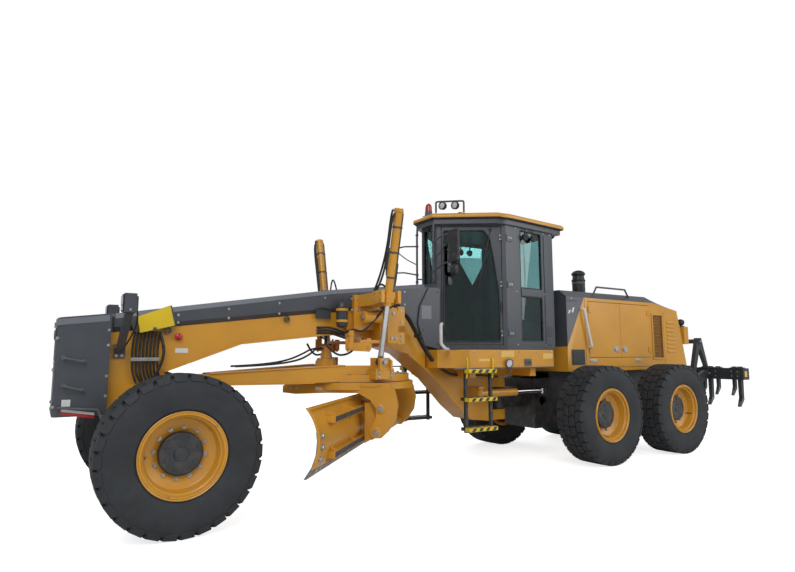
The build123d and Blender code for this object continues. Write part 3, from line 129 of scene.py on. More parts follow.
def linear(red, green, blue):
    """Linear colour from the 0 to 255 values of a colour chart."""
    return tuple((value / 255 / 12.92 if value < 11 else ((value / 255 + 0.055) / 1.055) ** 2.4)
                 for value in (red, green, blue))


# ---------------------------------------------------------------- user settings
def colour_setting(name, description, *chart):
    return bpy.props.FloatVectorProperty(name=name, description=description, subtype="COLOR", size=3, min=0,
                                         max=1, default=linear(*chart))


class GraderColours(bpy.types.PropertyGroup):
    """Colours of the machine's paints and rubber."""

    ochre: colour_setting("Ochre paint", "Frame, hood, rims and blade parts", 206, 146, 40)
    slate: colour_setting("Slate paint", "Cab, covers and hood top", 66, 70, 77)
    # lighter grey: painted highlight on the lit top edges of the nose and the beam cover, and the blank
    # cowl labels' own colour
    band: colour_setting("Cover band", "Lighter edge of the beam cover and nose", 112, 115, 122)
    black: colour_setting("Black paint", "Rear chassis, ripper and ladders", 42, 46, 50)
    lemon: colour_setting("Lemon paint", "Storage box and stripes", 222, 190, 20)
    rubber: colour_setting("Tyre rubber", "Carcass and tread of the tyres", 49, 52, 55)
    glass: colour_setting("Cab glass", "Tint of the cab's panes", 150, 188, 188)


class GraderSizes(bpy.types.PropertyGroup):
    """Sizes of the details that a user may change."""

    rounding: bpy.props.FloatProperty(name="Edge rounding",
                                      description="Width of the rounded edges of plates", default=0.005,
                                      unit="LENGTH")
    tread_pitches: bpy.props.IntProperty(name="Tread pitches", description="Block rows around a tyre",
                                         default=30)
    nuts: bpy.props.IntProperty(name="Wheel nuts", description="Nuts around a rim's hub", default=12)
    bolt: bpy.props.FloatProperty(name="Bolt radius", description="Half the width of a bolt head",
                                  default=0.013, unit="LENGTH")
    hose: bpy.props.FloatProperty(name="Hose radius", description="Radius of the hydraulic hoses",
                                  default=0.012, unit="LENGTH")


# ---------------------------------------------------------------- materials
class Wire:
    """A shader value that Python's operators turn into Math nodes."""

    def __init__(self, finish, socket):
        self.finish = finish
        self.socket = socket

    def _math(self, operation, *values):
        return self.finish.node("ShaderNodeMath", {"operation": operation}, dict(enumerate(values)))

    def __add__(self, other):
        return self._math("ADD", self, other)

    def __radd__(self, other):
        return self._math("ADD", other, self)

    def __sub__(self, other):
        return self._math("SUBTRACT", self, other)

    def __rsub__(self, other):
        return self._math("SUBTRACT", other, self)

    def __mul__(self, other):
        return self._math("MULTIPLY", self, other)

    def __rmul__(self, other):
        return self._math("MULTIPLY", other, self)

    def fade(self, low, high):
        """0 below low, 1 above high, smooth between."""
        return self.finish.node("ShaderNodeMapRange", {"interpolation_type": "SMOOTHSTEP"},
                                {"Value": self, "From Min": low, "From Max": high})


class Finish:
    """One material and the short words that its recipe is written in."""

    def __init__(self, name, **uniform):
        self.material = bpy.data.materials.new(name)
        self.material.use_nodes = True
        self.tree = self.material.node_tree
        self.shader = self.tree.nodes["Principled BSDF"]
        for socket, value in uniform.items():
            self.shader.inputs[socket.replace("_", " ")].default_value = value
        self.place = self.node("ShaderNodeTexCoord", {}, {}, "Object")

    def feed(self, socket, value):
        if isinstance(value, Wire):
            self.tree.links.new(value.socket, socket)
        elif socket.type == "RGBA" and len(value) == 3:
            socket.default_value = (*value, 1)
        else:
            socket.default_value = value

    def node(self, kind, settings, values, output=0):
        """Adds any node: its settings first, then the values or links of its sockets."""
        node = self.tree.nodes.new(kind)
        for name, value in settings.items():
            setattr(node, name, value)
        for name, value in values.items():
            self.feed(node.inputs[name], value)
        return Wire(self, node.outputs[output])

    def noise(self, scale, detail=3.0, stretch=(1, 1, 1), roughness=0.55):
        vector = self.place
        if stretch != (1, 1, 1):
            vector = self.node("ShaderNodeVectorMath", {"operation": "MULTIPLY"},
                               {0: self.place, 1: stretch})
        return self.node("ShaderNodeTexNoise", {}, {"Vector": vector, "Scale": scale, "Detail": detail,
                                                     "Roughness": roughness})

    def height(self):
        return self.node("ShaderNodeSeparateXYZ", {}, {0: self.place}, "Z")

    def mix(self, share, first, second):
        """Colour that goes from first to second as share goes from 0 to 1."""
        return self.node("ShaderNodeMix", {"data_type": "RGBA"}, {0: share, 6: first, 7: second}, 2)

    def bump(self, height, strength, distance):
        return self.node("ShaderNodeBump", {},
                         {"Height": height, "Strength": strength, "Distance": distance})

    def set(self, **wires):
        for name, value in wires.items():
            self.feed(self.shader.inputs[name.replace("_", " ")], value)
        return self.material


def shade(colour, factor):
    return tuple(min(1, value * factor) for value in colour)


DUST = linear(150, 138, 118)
PRIMER = linear(120, 108, 96)


def paint(name, colour, gloss=0.36, dust=0.07, chips=0.0, low=0.9):
    """Sprayed paint: cloudy tone, run-off streaks, dust that thickens towards the ground, chipped edges."""
    finish = Finish(name, Coat_Roughness=0.2, Specular_IOR_Level=0.45)
    clouds = finish.noise(1.7, 4)
    grime = finish.noise(9, 6)
    streaks = finish.noise(7, 4, (1, 1, 0.12)).fade(0.5, 0.72)
    ground = 1 - finish.height().fade(low * 0.25, low * 1.6)
    dirt = (grime.fade(0.42, 0.75) * (ground * 0.75 + 0.12) + streaks * 0.1) * (dust * 3)
    tone = finish.mix(clouds.fade(0.3, 0.7), shade(colour, 0.93), shade(colour, 1.06))
    tone = finish.mix(dirt, tone, DUST)
    scratch = finish.noise(60, 3, (1, 0.15, 1)).fade(0.70, 0.74) * finish.noise(3, 2).fade(0.5, 0.65)
    tone = finish.mix(scratch * 0.35, tone, shade(colour, 0.6))
    metal = 0.0
    if chips:
        worn = finish.noise(26, 5).fade(0.70 - chips * 0.2, 0.74 - chips * 0.2)
        tone = finish.mix(worn * 0.6, tone, PRIMER)
        metal = worn * 0.4
    rough = dirt * 0.35 + grime * 0.12 + (gloss - 0.06)
    peel = finish.noise(420, 2)
    dents = finish.noise(3.1, 2)
    wires = {"Base_Color": tone, "Roughness": rough, "Coat_Weight": 0.35 - dirt * 0.5,
             "Normal": finish.bump(peel * 0.12 + dents * 0.9, 0.3, 0.004)}
    if chips:
        wires["Metallic"] = metal
    return finish.set(**wires)


def rubber(name, colour):
    """Tyre rubber: dull black, dusty low in the tread, fine moulding grain."""
    finish = Finish(name, Specular_IOR_Level=0.35)
    cloud = finish.noise(3.3, 5)
    grain = finish.noise(150, 3)
    dusty = finish.noise(14, 6).fade(0.45, 0.8)
    tone = finish.mix(cloud.fade(0.35, 0.7), shade(colour, 0.82), shade(colour, 1.14))
    tone = finish.mix(dusty * 0.12, tone, linear(98, 95, 90))
    return finish.set(Base_Color=tone, Roughness=0.68 + dusty * 0.2 - cloud * 0.08,
                      Normal=finish.bump(grain + finish.noise(32, 3) * 0.8, 0.35, 0.002))


def metal(name, colour, rough=0.3, brushed=(1, 1, 1), rust=0.0, metallic=1.0):
    """Bare metal: brushed grain, smears, and rust where it is asked for."""
    finish = Finish(name, Specular_IOR_Level=0.5)
    grain = finish.noise(160, 3, brushed)
    smear = finish.noise(6, 5)
    tone = finish.mix(smear.fade(0.35, 0.7), shade(colour, 0.82), shade(colour, 1.08))
    rusty = finish.noise(11, 6).fade(0.68 - rust * 0.3, 0.8 - rust * 0.2) * min(1.0, rust * 2)
    tone = finish.mix(rusty, tone, linear(92, 62, 44))
    return finish.set(Base_Color=tone, Metallic=metallic - rusty * metallic,
                      Roughness=rough + smear * 0.15 + rusty * 0.4,
                      Normal=finish.bump(grain + rusty * 0.5, 0.2, 0.001))


def moulded(name, colour, rough=0.5, grain=240, bump=0.25):
    """Moulded plastic or hose rubber: leathery grain, handled spots."""
    finish = Finish(name, Specular_IOR_Level=0.45)
    cloud = finish.noise(5, 4)
    fine = finish.noise(grain, 2)
    worn = finish.noise(18, 4).fade(0.5, 0.75)
    tone = finish.mix(cloud.fade(0.3, 0.7), shade(colour, 0.86), shade(colour, 1.12))
    return finish.set(Base_Color=finish.mix(worn * 0.18, tone, DUST),
                      Roughness=rough + worn * 0.2 - fine * 0.06, Normal=finish.bump(fine, bump, 0.0015))


def glazing(name, colour):
    """Clear tinted pane with a thin film of dust."""
    finish = Finish(name, Specular_IOR_Level=0.5, IOR=1.45, Transmission_Weight=1.0)
    film = finish.noise(2.4, 5).fade(0.4, 0.8)
    return finish.set(Base_Color=finish.mix(film * 0.5, colour, shade(colour, 0.86)),
                      Roughness=0.01 + film * 0.02, Normal=finish.bump(finish.noise(1.1, 1), 0.01, 0.001))


def lens(name, colour):
    """Lamp lens with its moulded ribs."""
    finish = Finish(name, Specular_IOR_Level=0.6)
    ribs = finish.node("ShaderNodeTexWave", {"wave_type": "BANDS", "bands_direction": "DIAGONAL"},
                       {"Vector": finish.place, "Scale": 40.0, "Distortion": 0.4}, "Fac")
    cloud = finish.noise(20, 3)
    tone = finish.mix(ribs * 0.5 + cloud * 0.3, shade(colour, 0.7), shade(colour, 1.15))
    return finish.set(Base_Color=tone, Roughness=0.12 + cloud * 0.1, Coat_Weight=0.4 + ribs * 0.2,
                      Normal=finish.bump(ribs, 0.4, 0.001))


def fabric(name, colour):
    """Woven seat cloth."""
    finish = Finish(name, Sheen_Weight=0.3, Specular_IOR_Level=0.3)
    across = finish.node("ShaderNodeTexWave", {"wave_type": "BANDS", "bands_direction": "Y"},
                         {"Vector": finish.place, "Scale": 260.0, "Distortion": 1.0}, "Fac")
    along = finish.node("ShaderNodeTexWave", {"wave_type": "BANDS", "bands_direction": "Z"},
                        {"Vector": finish.place, "Scale": 260.0, "Distortion": 1.0}, "Fac")
    weave = across * along
    worn = finish.noise(7, 5)
    tone = finish.mix(weave * 0.5 + worn * 0.4, shade(colour, 0.7), shade(colour, 1.25))
    return finish.set(Base_Color=tone, Roughness=0.85 - worn * 0.1, Normal=finish.bump(weave, 0.5, 0.001))


LOOKS = {}
SLOTS = {
    # finish: the record's slot for it, unless a piece names another
    "ochre": "yellow_paint", "lemon": "yellow_paint", "slate": "slate_paint", "band": "grey_paint",
    "black": "black_paint", "white": "grey_paint", "wrap": "grey_paint", "orange": "grey_paint",
    "grey_plastic": "grey_paint", "plastic": "black_paint", "hose": "black_paint",
         "dark_steel": "black_paint",
    "steel": "wear_steel", "zinc": "wear_steel", "mesh": "wear_steel", "chrome": "chrome_rod",
    "red": "lamp_plastic", "ruby": "lamp_plastic", "amber": "lamp_plastic", "clear": "lamp_plastic",
    "mirror": "glass", "rubber": "tyre_rubber", "seat": "seat_fabric",
}


def mix_paints():
    """Makes every finish once, from the colours in the settings."""
    colours = bpy.context.scene.grader_colours
    ochre, slate, band, black, lemon = (tuple(getattr(colours, name)) for name in
                                        ("ochre", "slate", "band", "black", "lemon"))
    LOOKS.update({"ochre": paint("ochre_paint", ochre),
                  "ochre_edge": paint("ochre_edge", ochre, chips=0.35),
                  "slate": paint("slate_paint", slate, 0.42),
                  "slate_edge": paint("slate_edge", shade(slate, 1.15), 0.4, chips=0.08),
                  "band": paint("cover_band", band, 0.4), "black": paint("black_paint", black, 0.5, 0.09),
                  "black_edge": paint("black_edge", shade(black, 1.5), 0.5, 0.09, chips=0.15),
                  # band: lighter grey, a painted highlight on the top edges of the nose and cover, and the
                  # cowl labels' own colour
                  "lemon": paint("lemon_paint", lemon, 0.34, 0.04),
                  "white": paint("label_white", linear(214, 215, 212), 0.4, 0.08),
                  "red": paint("signal_red", linear(178, 26, 36), 0.3, 0.06),
                  "orange": paint("label_orange", linear(228, 184, 96), 0.4, 0.03),
                  "rubber": rubber("tyre_rubber", tuple(colours.rubber)),
                  "chrome": metal("chrome_rod", (0.72, 0.73, 0.75), 0.08, (0.2, 0.2, 1)),
                  "steel": metal("worn_steel", (0.30, 0.29, 0.28), 0.34, (1, 1, 0.1), 0.35),
                  "dark_steel": metal("dark_steel", (0.11, 0.11, 0.115), 0.45, (1, 1, 1), 0.25, 0.7),
                  "zinc": metal("zinc_bolt", (0.52, 0.52, 0.5), 0.35, rust=0.15),
                  "mesh": metal("brown_mesh", linear(112, 84, 58), 0.5, (1, 1, 1), 0.3, 0.4),
                  "hose": moulded("hose_rubber", linear(34, 35, 37), 0.55, 320, 0.4),
                  "plastic": moulded("moulded_black", linear(38, 40, 43), 0.5),
                  "grey_plastic": moulded("moulded_grey", linear(88, 92, 96), 0.5),
                  "glass": glazing("cab_glass", tuple(colours.glass)),
                  "mirror": metal("mirror_glass", (0.75, 0.78, 0.8), 0.03, metallic=0.95),
                  "clear": lens("clear_lens", linear(205, 210, 212)),
                  "amber": lens("amber_lens", linear(215, 120, 20)),
                  "ruby": lens("red_lens", linear(165, 18, 22)),
                  "seat": fabric("seat_cloth", linear(58, 62, 66)),
                  "wrap": moulded("white_wrap", linear(206, 207, 208), 0.35, 60, 0.5)})


# ---------------------------------------------------------------- modelling
bench = []


def idle():
    """Back to object mode with nothing selected."""
    if bpy.context.object and bpy.context.object.mode != "OBJECT":
        bpy.ops.object.mode_set(mode="OBJECT")
    bpy.ops.object.select_all(action="DESELECT")


def editing(shape):
    bpy.context.view_layer.objects.active = shape
    bpy.ops.object.mode_set(mode="EDIT")
    bpy.ops.mesh.select_all(action="SELECT")


def outward():
    """Turns every face outward and leaves edit mode."""
    bpy.ops.mesh.select_all(action="SELECT")
    bpy.ops.mesh.normals_make_consistent(inside=False)
    bpy.ops.object.mode_set(mode="OBJECT")


def keep(shape):
    bench.append(shape)
    return shape


SHARP_ANGLE = 38


def soften(shape, width, segments=2, material=-1):
    """Rounds the sharp edges with an applied bevel, in a material slot of its own if one is given."""
    if width:
        bevel = shape.modifiers.new("rounding", "BEVEL")
        bevel.width = width
        bevel.segments = segments
        bevel.material = material
        bevel.limit_method = "ANGLE"
        bevel.angle_limit = math.radians(SHARP_ANGLE)
        bpy.context.view_layer.objects.active = shape
        bpy.ops.object.modifier_apply(modifier=bevel.name)
    return shape


def slab(corners, run, rounding=0.004, segments=2):
    """Flat outline extruded along a run."""
    idle()
    bpy.ops.mesh.primitive_circle_add(vertices=len(corners), fill_type="NGON")
    shape = bpy.context.object
    for vertex, corner in zip(shape.data.vertices, corners):
        vertex.co = corner
    editing(shape)
    bpy.ops.mesh.extrude_region_move(TRANSFORM_OT_translate={"value": tuple(run)})
    outward()
    return keep(soften(shape, rounding, segments))


def box(x, y, z, rounding=0.004):
    """Rounded box between two corners given as ranges."""
    corners = [(x[0], y[0], z[0]), (x[1], y[0], z[0]), (x[1], y[1], z[0]), (x[0], y[1], z[0])]
    return slab(corners, (0, 0, z[1] - z[0]), rounding)


def behind_box(distance, y, z, side=1, rounding=0.004):
    """Rounded box given by distances behind the front axle, on the left (1) or right (-1)."""
    return box(sorted((back(distance[0]), back(distance[1]))), flank(side, *y), z, rounding)


def side_slab(outline, y, rounding=0.004):
    """Outline of (behind, height) points extruded across, from y[0] to y[1]."""
    return slab([spot(distance, y[0], z) for distance, z in outline], (0, y[1] - y[0], 0), rounding)


def ring(centre, axis, radius, sides):
    """Corners of a circle around an axis."""
    axis = Vector(axis).normalized()
    first = axis.orthogonal().normalized()
    second = axis.cross(first)
    turns = [2 * math.pi * step / sides for step in range(sides)]
    return [Vector(centre) + first * radius * math.cos(turn) + second * radius * math.sin(turn)
            for turn in turns]


def offsets(start, *steps):
    """Points at the given steps from a start."""
    return [start + Vector(step) for step in steps]


def around(centre, radius, turns, rise=0.0):
    """Places on a level circle at the given turns."""
    return [centre + Vector((radius * math.cos(turn), radius * math.sin(turn), rise)) for turn in turns]


def disc(centre, axis, radius, depth, sides=24, rounding=0.003):
    """Short round bar that starts at its centre and runs along its axis."""
    axis = Vector(axis).normalized()
    return slab(ring(centre, axis, radius, sides), axis * depth, rounding, 1)


def bar(start, end, radius, sides=14, rounding=0.003):
    start, end = Vector(start), Vector(end)
    return disc(start, end - start, radius, (end - start).length, sides, rounding)


def lathe(centre, axis, profile, steps=48):
    """Closed profile of (along, radius) points spun around an axis."""
    idle()
    centre, axis = Vector(centre), Vector(axis).normalized()
    out = axis.orthogonal().normalized()
    bpy.ops.mesh.primitive_circle_add(vertices=len(profile), fill_type="NOTHING")
    shape = bpy.context.object
    for vertex, (along, radius) in zip(shape.data.vertices, profile):
        vertex.co = centre + axis * along + out * radius
    editing(shape)
    bpy.ops.mesh.spin(steps=steps, angle=2 * math.pi, center=centre, axis=axis)
    bpy.ops.mesh.select_all(action="SELECT")
    bpy.ops.mesh.remove_doubles(threshold=0.00002)
    bpy.ops.mesh.dissolve_degenerate(threshold=0.00001)
    bpy.ops.mesh.delete_loose(use_verts=True, use_edges=True, use_faces=False)
    outward()
    return keep(shape)


def hoop(centre, axis, half, inner, outer, steps):
    """Flat ring around an axis, half its width to each side of its centre."""
    return lathe(centre, axis, [(-half, inner), (-half, outer), (half, outer), (half, inner)], steps)


def hose(points, radius=0.012, order=3, sides=3, steps=5):
    """Round tube along a smooth line through given points; order 2 keeps its corners sharp."""
    idle()
    bpy.ops.curve.primitive_nurbs_path_add()
    line = bpy.context.object
    line.data.splines.clear()
    spline = line.data.splines.new("NURBS")
    spline.points.add(len(points) - 1)
    for point, place in zip(spline.points, points):
        point.co = (*place, 1)
    spline.order_u = order
    spline.use_endpoint_u = True
    spline.resolution_u = steps
    line.data.bevel_depth = radius
    line.data.bevel_resolution = sides
    line.data.use_fill_caps = True
    bpy.ops.object.select_all(action="DESELECT")
    line.select_set(True)
    bpy.ops.object.convert(target="MESH")
    return keep(bpy.context.object)


def rail(points, radius=0.014):
    """Bent bar: straight runs with short rounded corners."""
    corners = [Vector(point) for point in points]
    path = [corners[0]]
    for before, corner, after in zip(corners, corners[1:], corners[2:]):
        for other in (before, after):
            reach = min(0.05, (other - corner).length * 0.4)
            path.append(corner + (other - corner).normalized() * reach)
            if other is before:
                path.append(corner)
    path.append(corners[-1])
    return hose(path, radius, 3, 3, 4)


def placed(shape, place, axis=UP, scale=1.0):
    """Copy of a shape with its own mesh, its Z laid along an axis."""
    twin = shape.copy()
    twin.data = shape.data.copy()
    bpy.context.scene.collection.objects.link(twin)
    turn = UP.rotation_difference(Vector(axis)).to_matrix().to_4x4()
    twin.data.transform(Matrix.Translation(place) @ turn @ Matrix.Diagonal((scale, scale, scale, 1)))
    return keep(twin)


def bolts(places, axis, radius=None):
    """Hexagon head on its washer, modelled once and copied to each place."""
    radius = radius or bpy.context.scene.grader_sizes.bolt
    waiting = list(bench)
    bench.clear()
    disc((0, 0, 0), UP, radius * 1.35, radius * 0.22, 16, radius * 0.08)
    slab(ring((0, 0, radius * 0.2), UP, radius, 6), (0, 0, radius * 0.65), radius * 0.12, 1)
    head = joined()
    bench.extend(waiting)
    for place in places:
        placed(head, place, axis)
    bpy.data.objects.remove(head)


def joined():
    """Joins what lies on the bench into one shape."""
    idle()
    for shape in bench:
        shape.select_set(True)
    bpy.context.view_layer.objects.active = bench[0]
    if len(bench) > 1:
        bpy.ops.object.join()
    bench.clear()
    return bpy.context.object


def facing(shape, limit):
    """Smooth shading up to an angle, with large faces kept flat beside their rounded edges."""
    bpy.ops.object.shade_smooth_by_angle(angle=math.radians(limit))
    if limit < 90:
        flat = shape.modifiers.new("flat", "WEIGHTED_NORMAL")
        flat.keep_sharp = True
        bpy.ops.object.modifier_apply(modifier=flat.name)


def piece(name, body, look, slot=None, replaces=(), smooth=SHARP_ANGLE):
    """Joins the bench into one named piece, gives it its finish and lets it ride on its body."""
    slot = slot or SLOTS[look]
    whole = joined()
    whole.name = whole.data.name = name
    bpy.ops.object.transform_apply(location=True, rotation=True, scale=True)
    whole.data.materials.clear()
    whole.data.materials.append(LOOKS[look])
    facing(whole, smooth)
    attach(whole, body)
    if replaces:
        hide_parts(*replaces)
    return whole


BODY_OF = {node: body for body, nodes in frame["record"]["behaviour"]["bodies"].items() for node in nodes}


def skin(node, look, share):
    """Stands for a CAD node with its own form, edges rounded and worn."""
    idle()
    shape = frame["nodes"][node].copy()
    shape.data = shape.data.copy()
    bpy.context.scene.collection.objects.link(shape)
    shape.parent = None
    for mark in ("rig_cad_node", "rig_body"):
        if mark in shape:
            del shape[mark]
    shape.select_set(True)
    editing(shape)
    bpy.ops.mesh.customdata_custom_splitnormals_clear()
    bpy.ops.mesh.remove_doubles(threshold=0.00005)
    bpy.ops.mesh.dissolve_limited(angle_limit=math.radians(0.6))
    bpy.ops.object.mode_set(mode="OBJECT")
    shape.data.materials.clear()
    shape.data.materials.append(LOOKS[look])
    shape.data.materials.append(LOOKS.get(look + "_edge", LOOKS[look]))
    soften(shape, bpy.context.scene.grader_sizes.rounding * share, 2, 1)
    facing(shape, SHARP_ANGLE)
    shape.name = shape.data.name = node + "_skin"
    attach(shape, BODY_OF[node])
    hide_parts(node)
    return shape


# ---------------------------------------------------------------- stage
CAMERA_PLACE = (5.344, 6.094, 1.490)
CAMERA_LOOK = (-0.5377, -0.8432, math.tan(math.radians(6.856)))
CAMERA_LENS = 25.19
LAMPS = [
    # name, place, watts, size
    ("key", (9, 10, 11), 1000, 9), ("fill", (-9, 11, 7), 550, 9), ("rim", (-6, -12, 9), 450, 8),
]
WORLD_LIGHT = 0.42


class GRADER_OT_stage(bpy.types.Operator):
    """Pale floor, soft studio light and the camera"""

    bl_idname = "grader.stage"
    bl_label = "Stage"

    def execute(self, context):
        scene = context.scene
        scene.view_settings.view_transform = "Standard"
        idle()
        bpy.ops.mesh.primitive_plane_add(size=160)
        floor = context.object
        floor.name = "floor"
        ground = Finish("pale_floor", Roughness=0.9)
        cloud = ground.noise(0.4, 3)
        ground.set(Base_Color=ground.mix(cloud, (0.80, 0.80, 0.80), (0.84, 0.84, 0.84)))
        tree = ground.tree
        seen = ground.node("ShaderNodeLightPath", {}, {}, "Is Camera Ray")
        glow = ground.node("ShaderNodeEmission", {}, {"Color": (1, 1, 1), "Strength": 0.75})
        both = ground.node("ShaderNodeAddShader", {}, {0: Wire(ground, ground.shader.outputs[0]), 1: glow})
        share = ground.node("ShaderNodeMixShader", {},
                            {0: seen, 1: Wire(ground, ground.shader.outputs[0]), 2: both})
        tree.links.new(share.socket, tree.nodes["Material Output"].inputs["Surface"])
        floor.data.materials.append(ground.material)

        world = bpy.data.worlds.new("soft_sky")
        world.use_nodes = True
        scene.world = world
        nodes, links = world.node_tree.nodes, world.node_tree.links
        sky = nodes["Background"]
        sky.inputs["Color"].default_value = (0.93, 0.96, 1.0, 1)
        sky.inputs["Strength"].default_value = WORLD_LIGHT
        white = nodes.new("ShaderNodeBackground")
        white.inputs["Color"].default_value = (1, 1, 1, 1)
        path = nodes.new("ShaderNodeLightPath")
        either = nodes.new("ShaderNodeMath")
        either.operation = "MAXIMUM"
        links.new(path.outputs["Is Camera Ray"], either.inputs[0])
        links.new(path.outputs["Is Transmission Ray"], either.inputs[1])
        blend = nodes.new("ShaderNodeMixShader")
        links.new(either.outputs[0], blend.inputs[0])
        links.new(sky.outputs[0], blend.inputs[1])
        links.new(white.outputs[0], blend.inputs[2])
        links.new(blend.outputs[0], nodes["World Output"].inputs["Surface"])

        for name, place, energy, size in LAMPS:
            idle()
            bpy.ops.object.light_add(type="AREA", location=place)
            lamp = context.object
            lamp.name = name
            lamp.data.energy = energy
            lamp.data.size = size
            lamp.rotation_euler = (Vector((0, 0, 1)) - Vector(place)).to_track_quat("-Z", "Y").to_euler()

        idle()
        bpy.ops.object.camera_add(location=CAMERA_PLACE)
        camera = context.object
        camera.data.sensor_width = 36
        camera.data.lens = CAMERA_LENS
        camera.data.clip_end = 300
        camera.rotation_euler = Vector(CAMERA_LOOK).to_track_quat("-Z", "Y").to_euler()
        scene.camera = camera
        return {"FINISHED"}


# ---------------------------------------------------------------- wheels
class GRADER_OT_tyres(bpy.types.Operator):
    """Tyres with staggered tread blocks"""

    bl_idname = "grader.tyres"
    bl_label = "Tyres"

    def execute(self, context):
        pitches = context.scene.grader_sizes.tread_pitches
        pitch = 2 * math.pi * WHEEL_RADIUS / pitches
        profile = [(-0.183, 0.322), (-0.183, 0.362), (-0.196, 0.372), (-0.205, 0.400), (-0.217, 0.450),
                   (-0.2215, 0.500), (-0.221, 0.545), (-0.214, 0.590), (-0.203, 0.618), (-0.185, 0.631),
                   (-0.100, 0.6345), (0, 0.636)]
        profile += [(-along, radius) for along, radius in reversed(profile[:-1])]
        lathe((0, 0, 0), (0, 1, 0), profile, 96)
        carcass = joined()
        # one pitch of the tread, unrolled: X along the tyre's width, Y around it, Z the radius
        sweep, gap = 0.036, 0.012
        for side in BOTH_SIDES:
            for near, far, shift, base, top, rim in ((0.006, 0.092, 0.0, 0.622, WHEEL_RADIUS, 0.0),
                                                     (0.102, 0.199, 0.5, 0.600, WHEEL_RADIUS - 0.003,
                                                      0.018)):
                low = (shift - 0.5) * pitch + gap / 2
                high = (shift + 0.5) * pitch - gap / 2
                lean = sweep * (far - near) / 0.095
                middle = (near + far) / 2
                corners = [(near, low), (middle, low + lean * 0.75), (far, low + lean * 0.55),
                           (far, high + lean * 0.55 - rim), (middle, high + lean * 0.75), (near, high)]
                block = slab([(side * along, around, base) for along, around in corners],
                             (0, 0, top - base), 0.0)
                for vertex in block.data.vertices:
                    if rim and abs(vertex.co.x) > far - 0.001:
                        vertex.co.x = side * (0.2205 if vertex.co.z < base + 0.001 else 0.197)
                soften(block, 0.004, 1)
        row = joined()
        for step in range(pitches):
            twin = placed(row, (0, 0, 0))
            for vertex in twin.data.vertices:
                turn = (vertex.co.y + step * pitch) / WHEEL_RADIUS
                vertex.co = (vertex.co.z * math.sin(turn), vertex.co.x, -vertex.co.z * math.cos(turn))
        bpy.data.objects.remove(row)
        tread = joined()
        editing(tread)
        bpy.ops.mesh.normals_make_consistent(inside=False)
        idle()
        bench.extend([carcass, tread])
        tyre = joined()
        for wheel in WHEELS:
            low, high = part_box("tyre_" + wheel)
            middle = (low + high) / 2
            twin = placed(tyre, (middle.x, middle.y, WHEEL_RADIUS))
            if middle.y < 0:
                twin.data.transform(Matrix.Translation(Vector((middle.x, middle.y,
                                                               0)) * 2) @ Matrix.Diagonal((-1, -1, 1, 1)))
            piece("tyre_" + wheel + "_tread", "wheel_" + wheel, "rubber", replaces=("tyre_" + wheel,),
                  smooth=30)
        bpy.data.objects.remove(tyre)
        return {"FINISHED"}


class GRADER_OT_rims(bpy.types.Operator):
    """Rims with their nuts, hub discs and valves"""

    bl_idname = "grader.rims"
    bl_label = "Rims"

    def execute(self, context):
        nuts = context.scene.grader_sizes.nuts
        profile = [(0.197, 0.350), (0.194, 0.355), (0.187, 0.355), (0.185, 0.350), (0.185, 0.3185),
                   (-0.185, 0.3185), (-0.185, 0.350), (-0.187, 0.355), (-0.194, 0.355), (-0.197, 0.350),
                   (-0.197, 0.308), (-0.190, 0.303), (-0.060, 0.300), (0.030, 0.282), (0.000, 0.180),
                   (-0.045, 0.150), (-0.045, 0.0705), (-0.005, 0.0705), (-0.005, 0.0), (0.075, 0.0),
                   (0.075, 0.166), (0.070, 0.175), (0.024, 0.180), (0.026, 0.190), (0.056, 0.278),
                   (0.062, 0.288), (0.072, 0.293), (0.150, 0.299), (0.158, 0.304), (0.164, 0.314),
                   (0.172, 0.318), (0.180, 0.318), (0.184, 0.324), (0.188, 0.338)]
        lathe((0, 0, 0), (0, 1, 0), profile, 72)
        rim = joined()
        # lock ring, nuts on their studs, hub cap with its bolts and plug, valve
        lathe((0, 0, 0), (0, 1, 0),
              [(0.1965, 0.326), (0.1965, 0.336), (0.190, 0.340), (0.182, 0.336), (0.182, 0.326),
               (0.190, 0.322)], 72)
        lock = joined()
        turns = [2 * math.pi * step / nuts for step in range(nuts)]
        studs = [Vector((math.cos(turn) * 0.212, 0.033, math.sin(turn) * 0.212)) for turn in turns]
        bolts(studs, (0, 1, 0), 0.0155)
        for place in studs:
            disc(place, (0, 1, 0), 0.0085, 0.024, 12, 0.002)
        nut_ring = joined()
        lathe((0, 0, 0), (0, 1, 0),
              [(0.028, 0.1805), (0.068, 0.180), (0.080, 0.172), (0.084, 0.160), (0.084, 0.060),
               (0.092, 0.055), (0.092, 0.0), (0.0755, 0.0), (0.0755, 0.164), (0.068, 0.1775)], 64)
        turns = [2 * math.pi * step / 8 for step in range(8)]
        bolts([Vector((math.cos(turn) * 0.138, 0.0838, math.sin(turn) * 0.138)) for turn in turns],
              (0, 1, 0), 0.008)
        hose([(0.25, 0.062, 0.10), (0.262, 0.10, 0.103), (0.268, 0.14, 0.105)], 0.005)
        hub = joined()
        for wheel in WHEELS:
            low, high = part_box("rim_" + wheel)
            middle = (low + high) / 2
            turn = Matrix.Rotation(0.4 + 0.7 * WHEELS.index(wheel), 4, "Y")
            flip = Matrix.Diagonal((-1, -1, 1, 1)) if middle.y < 0 else Matrix.Identity(4)
            for shape, name, look, slot, node in ((rim, "rim_", "ochre", "yellow_paint", ("rim_" + wheel,)),
                                                  (lock, "lock_ring_", "ochre_edge", "yellow_paint", ()),
                                                  (nut_ring, "nuts_", "zinc", "wear_steel", ()),
                                                  (hub, "hub_cap_", "black", "black_paint", ())):
                twin = placed(shape, (0, 0, 0))
                twin.data.transform(Matrix.Translation((middle.x, middle.y, middle.z)) @ turn @ flip)
                piece(name + wheel + ("_spun" if name == "rim_" else ""), "wheel_" + wheel, look, slot,
                      node)
        for shape in (rim, lock, nut_ring, hub):
            bpy.data.objects.remove(shape)
        return {"FINISHED"}


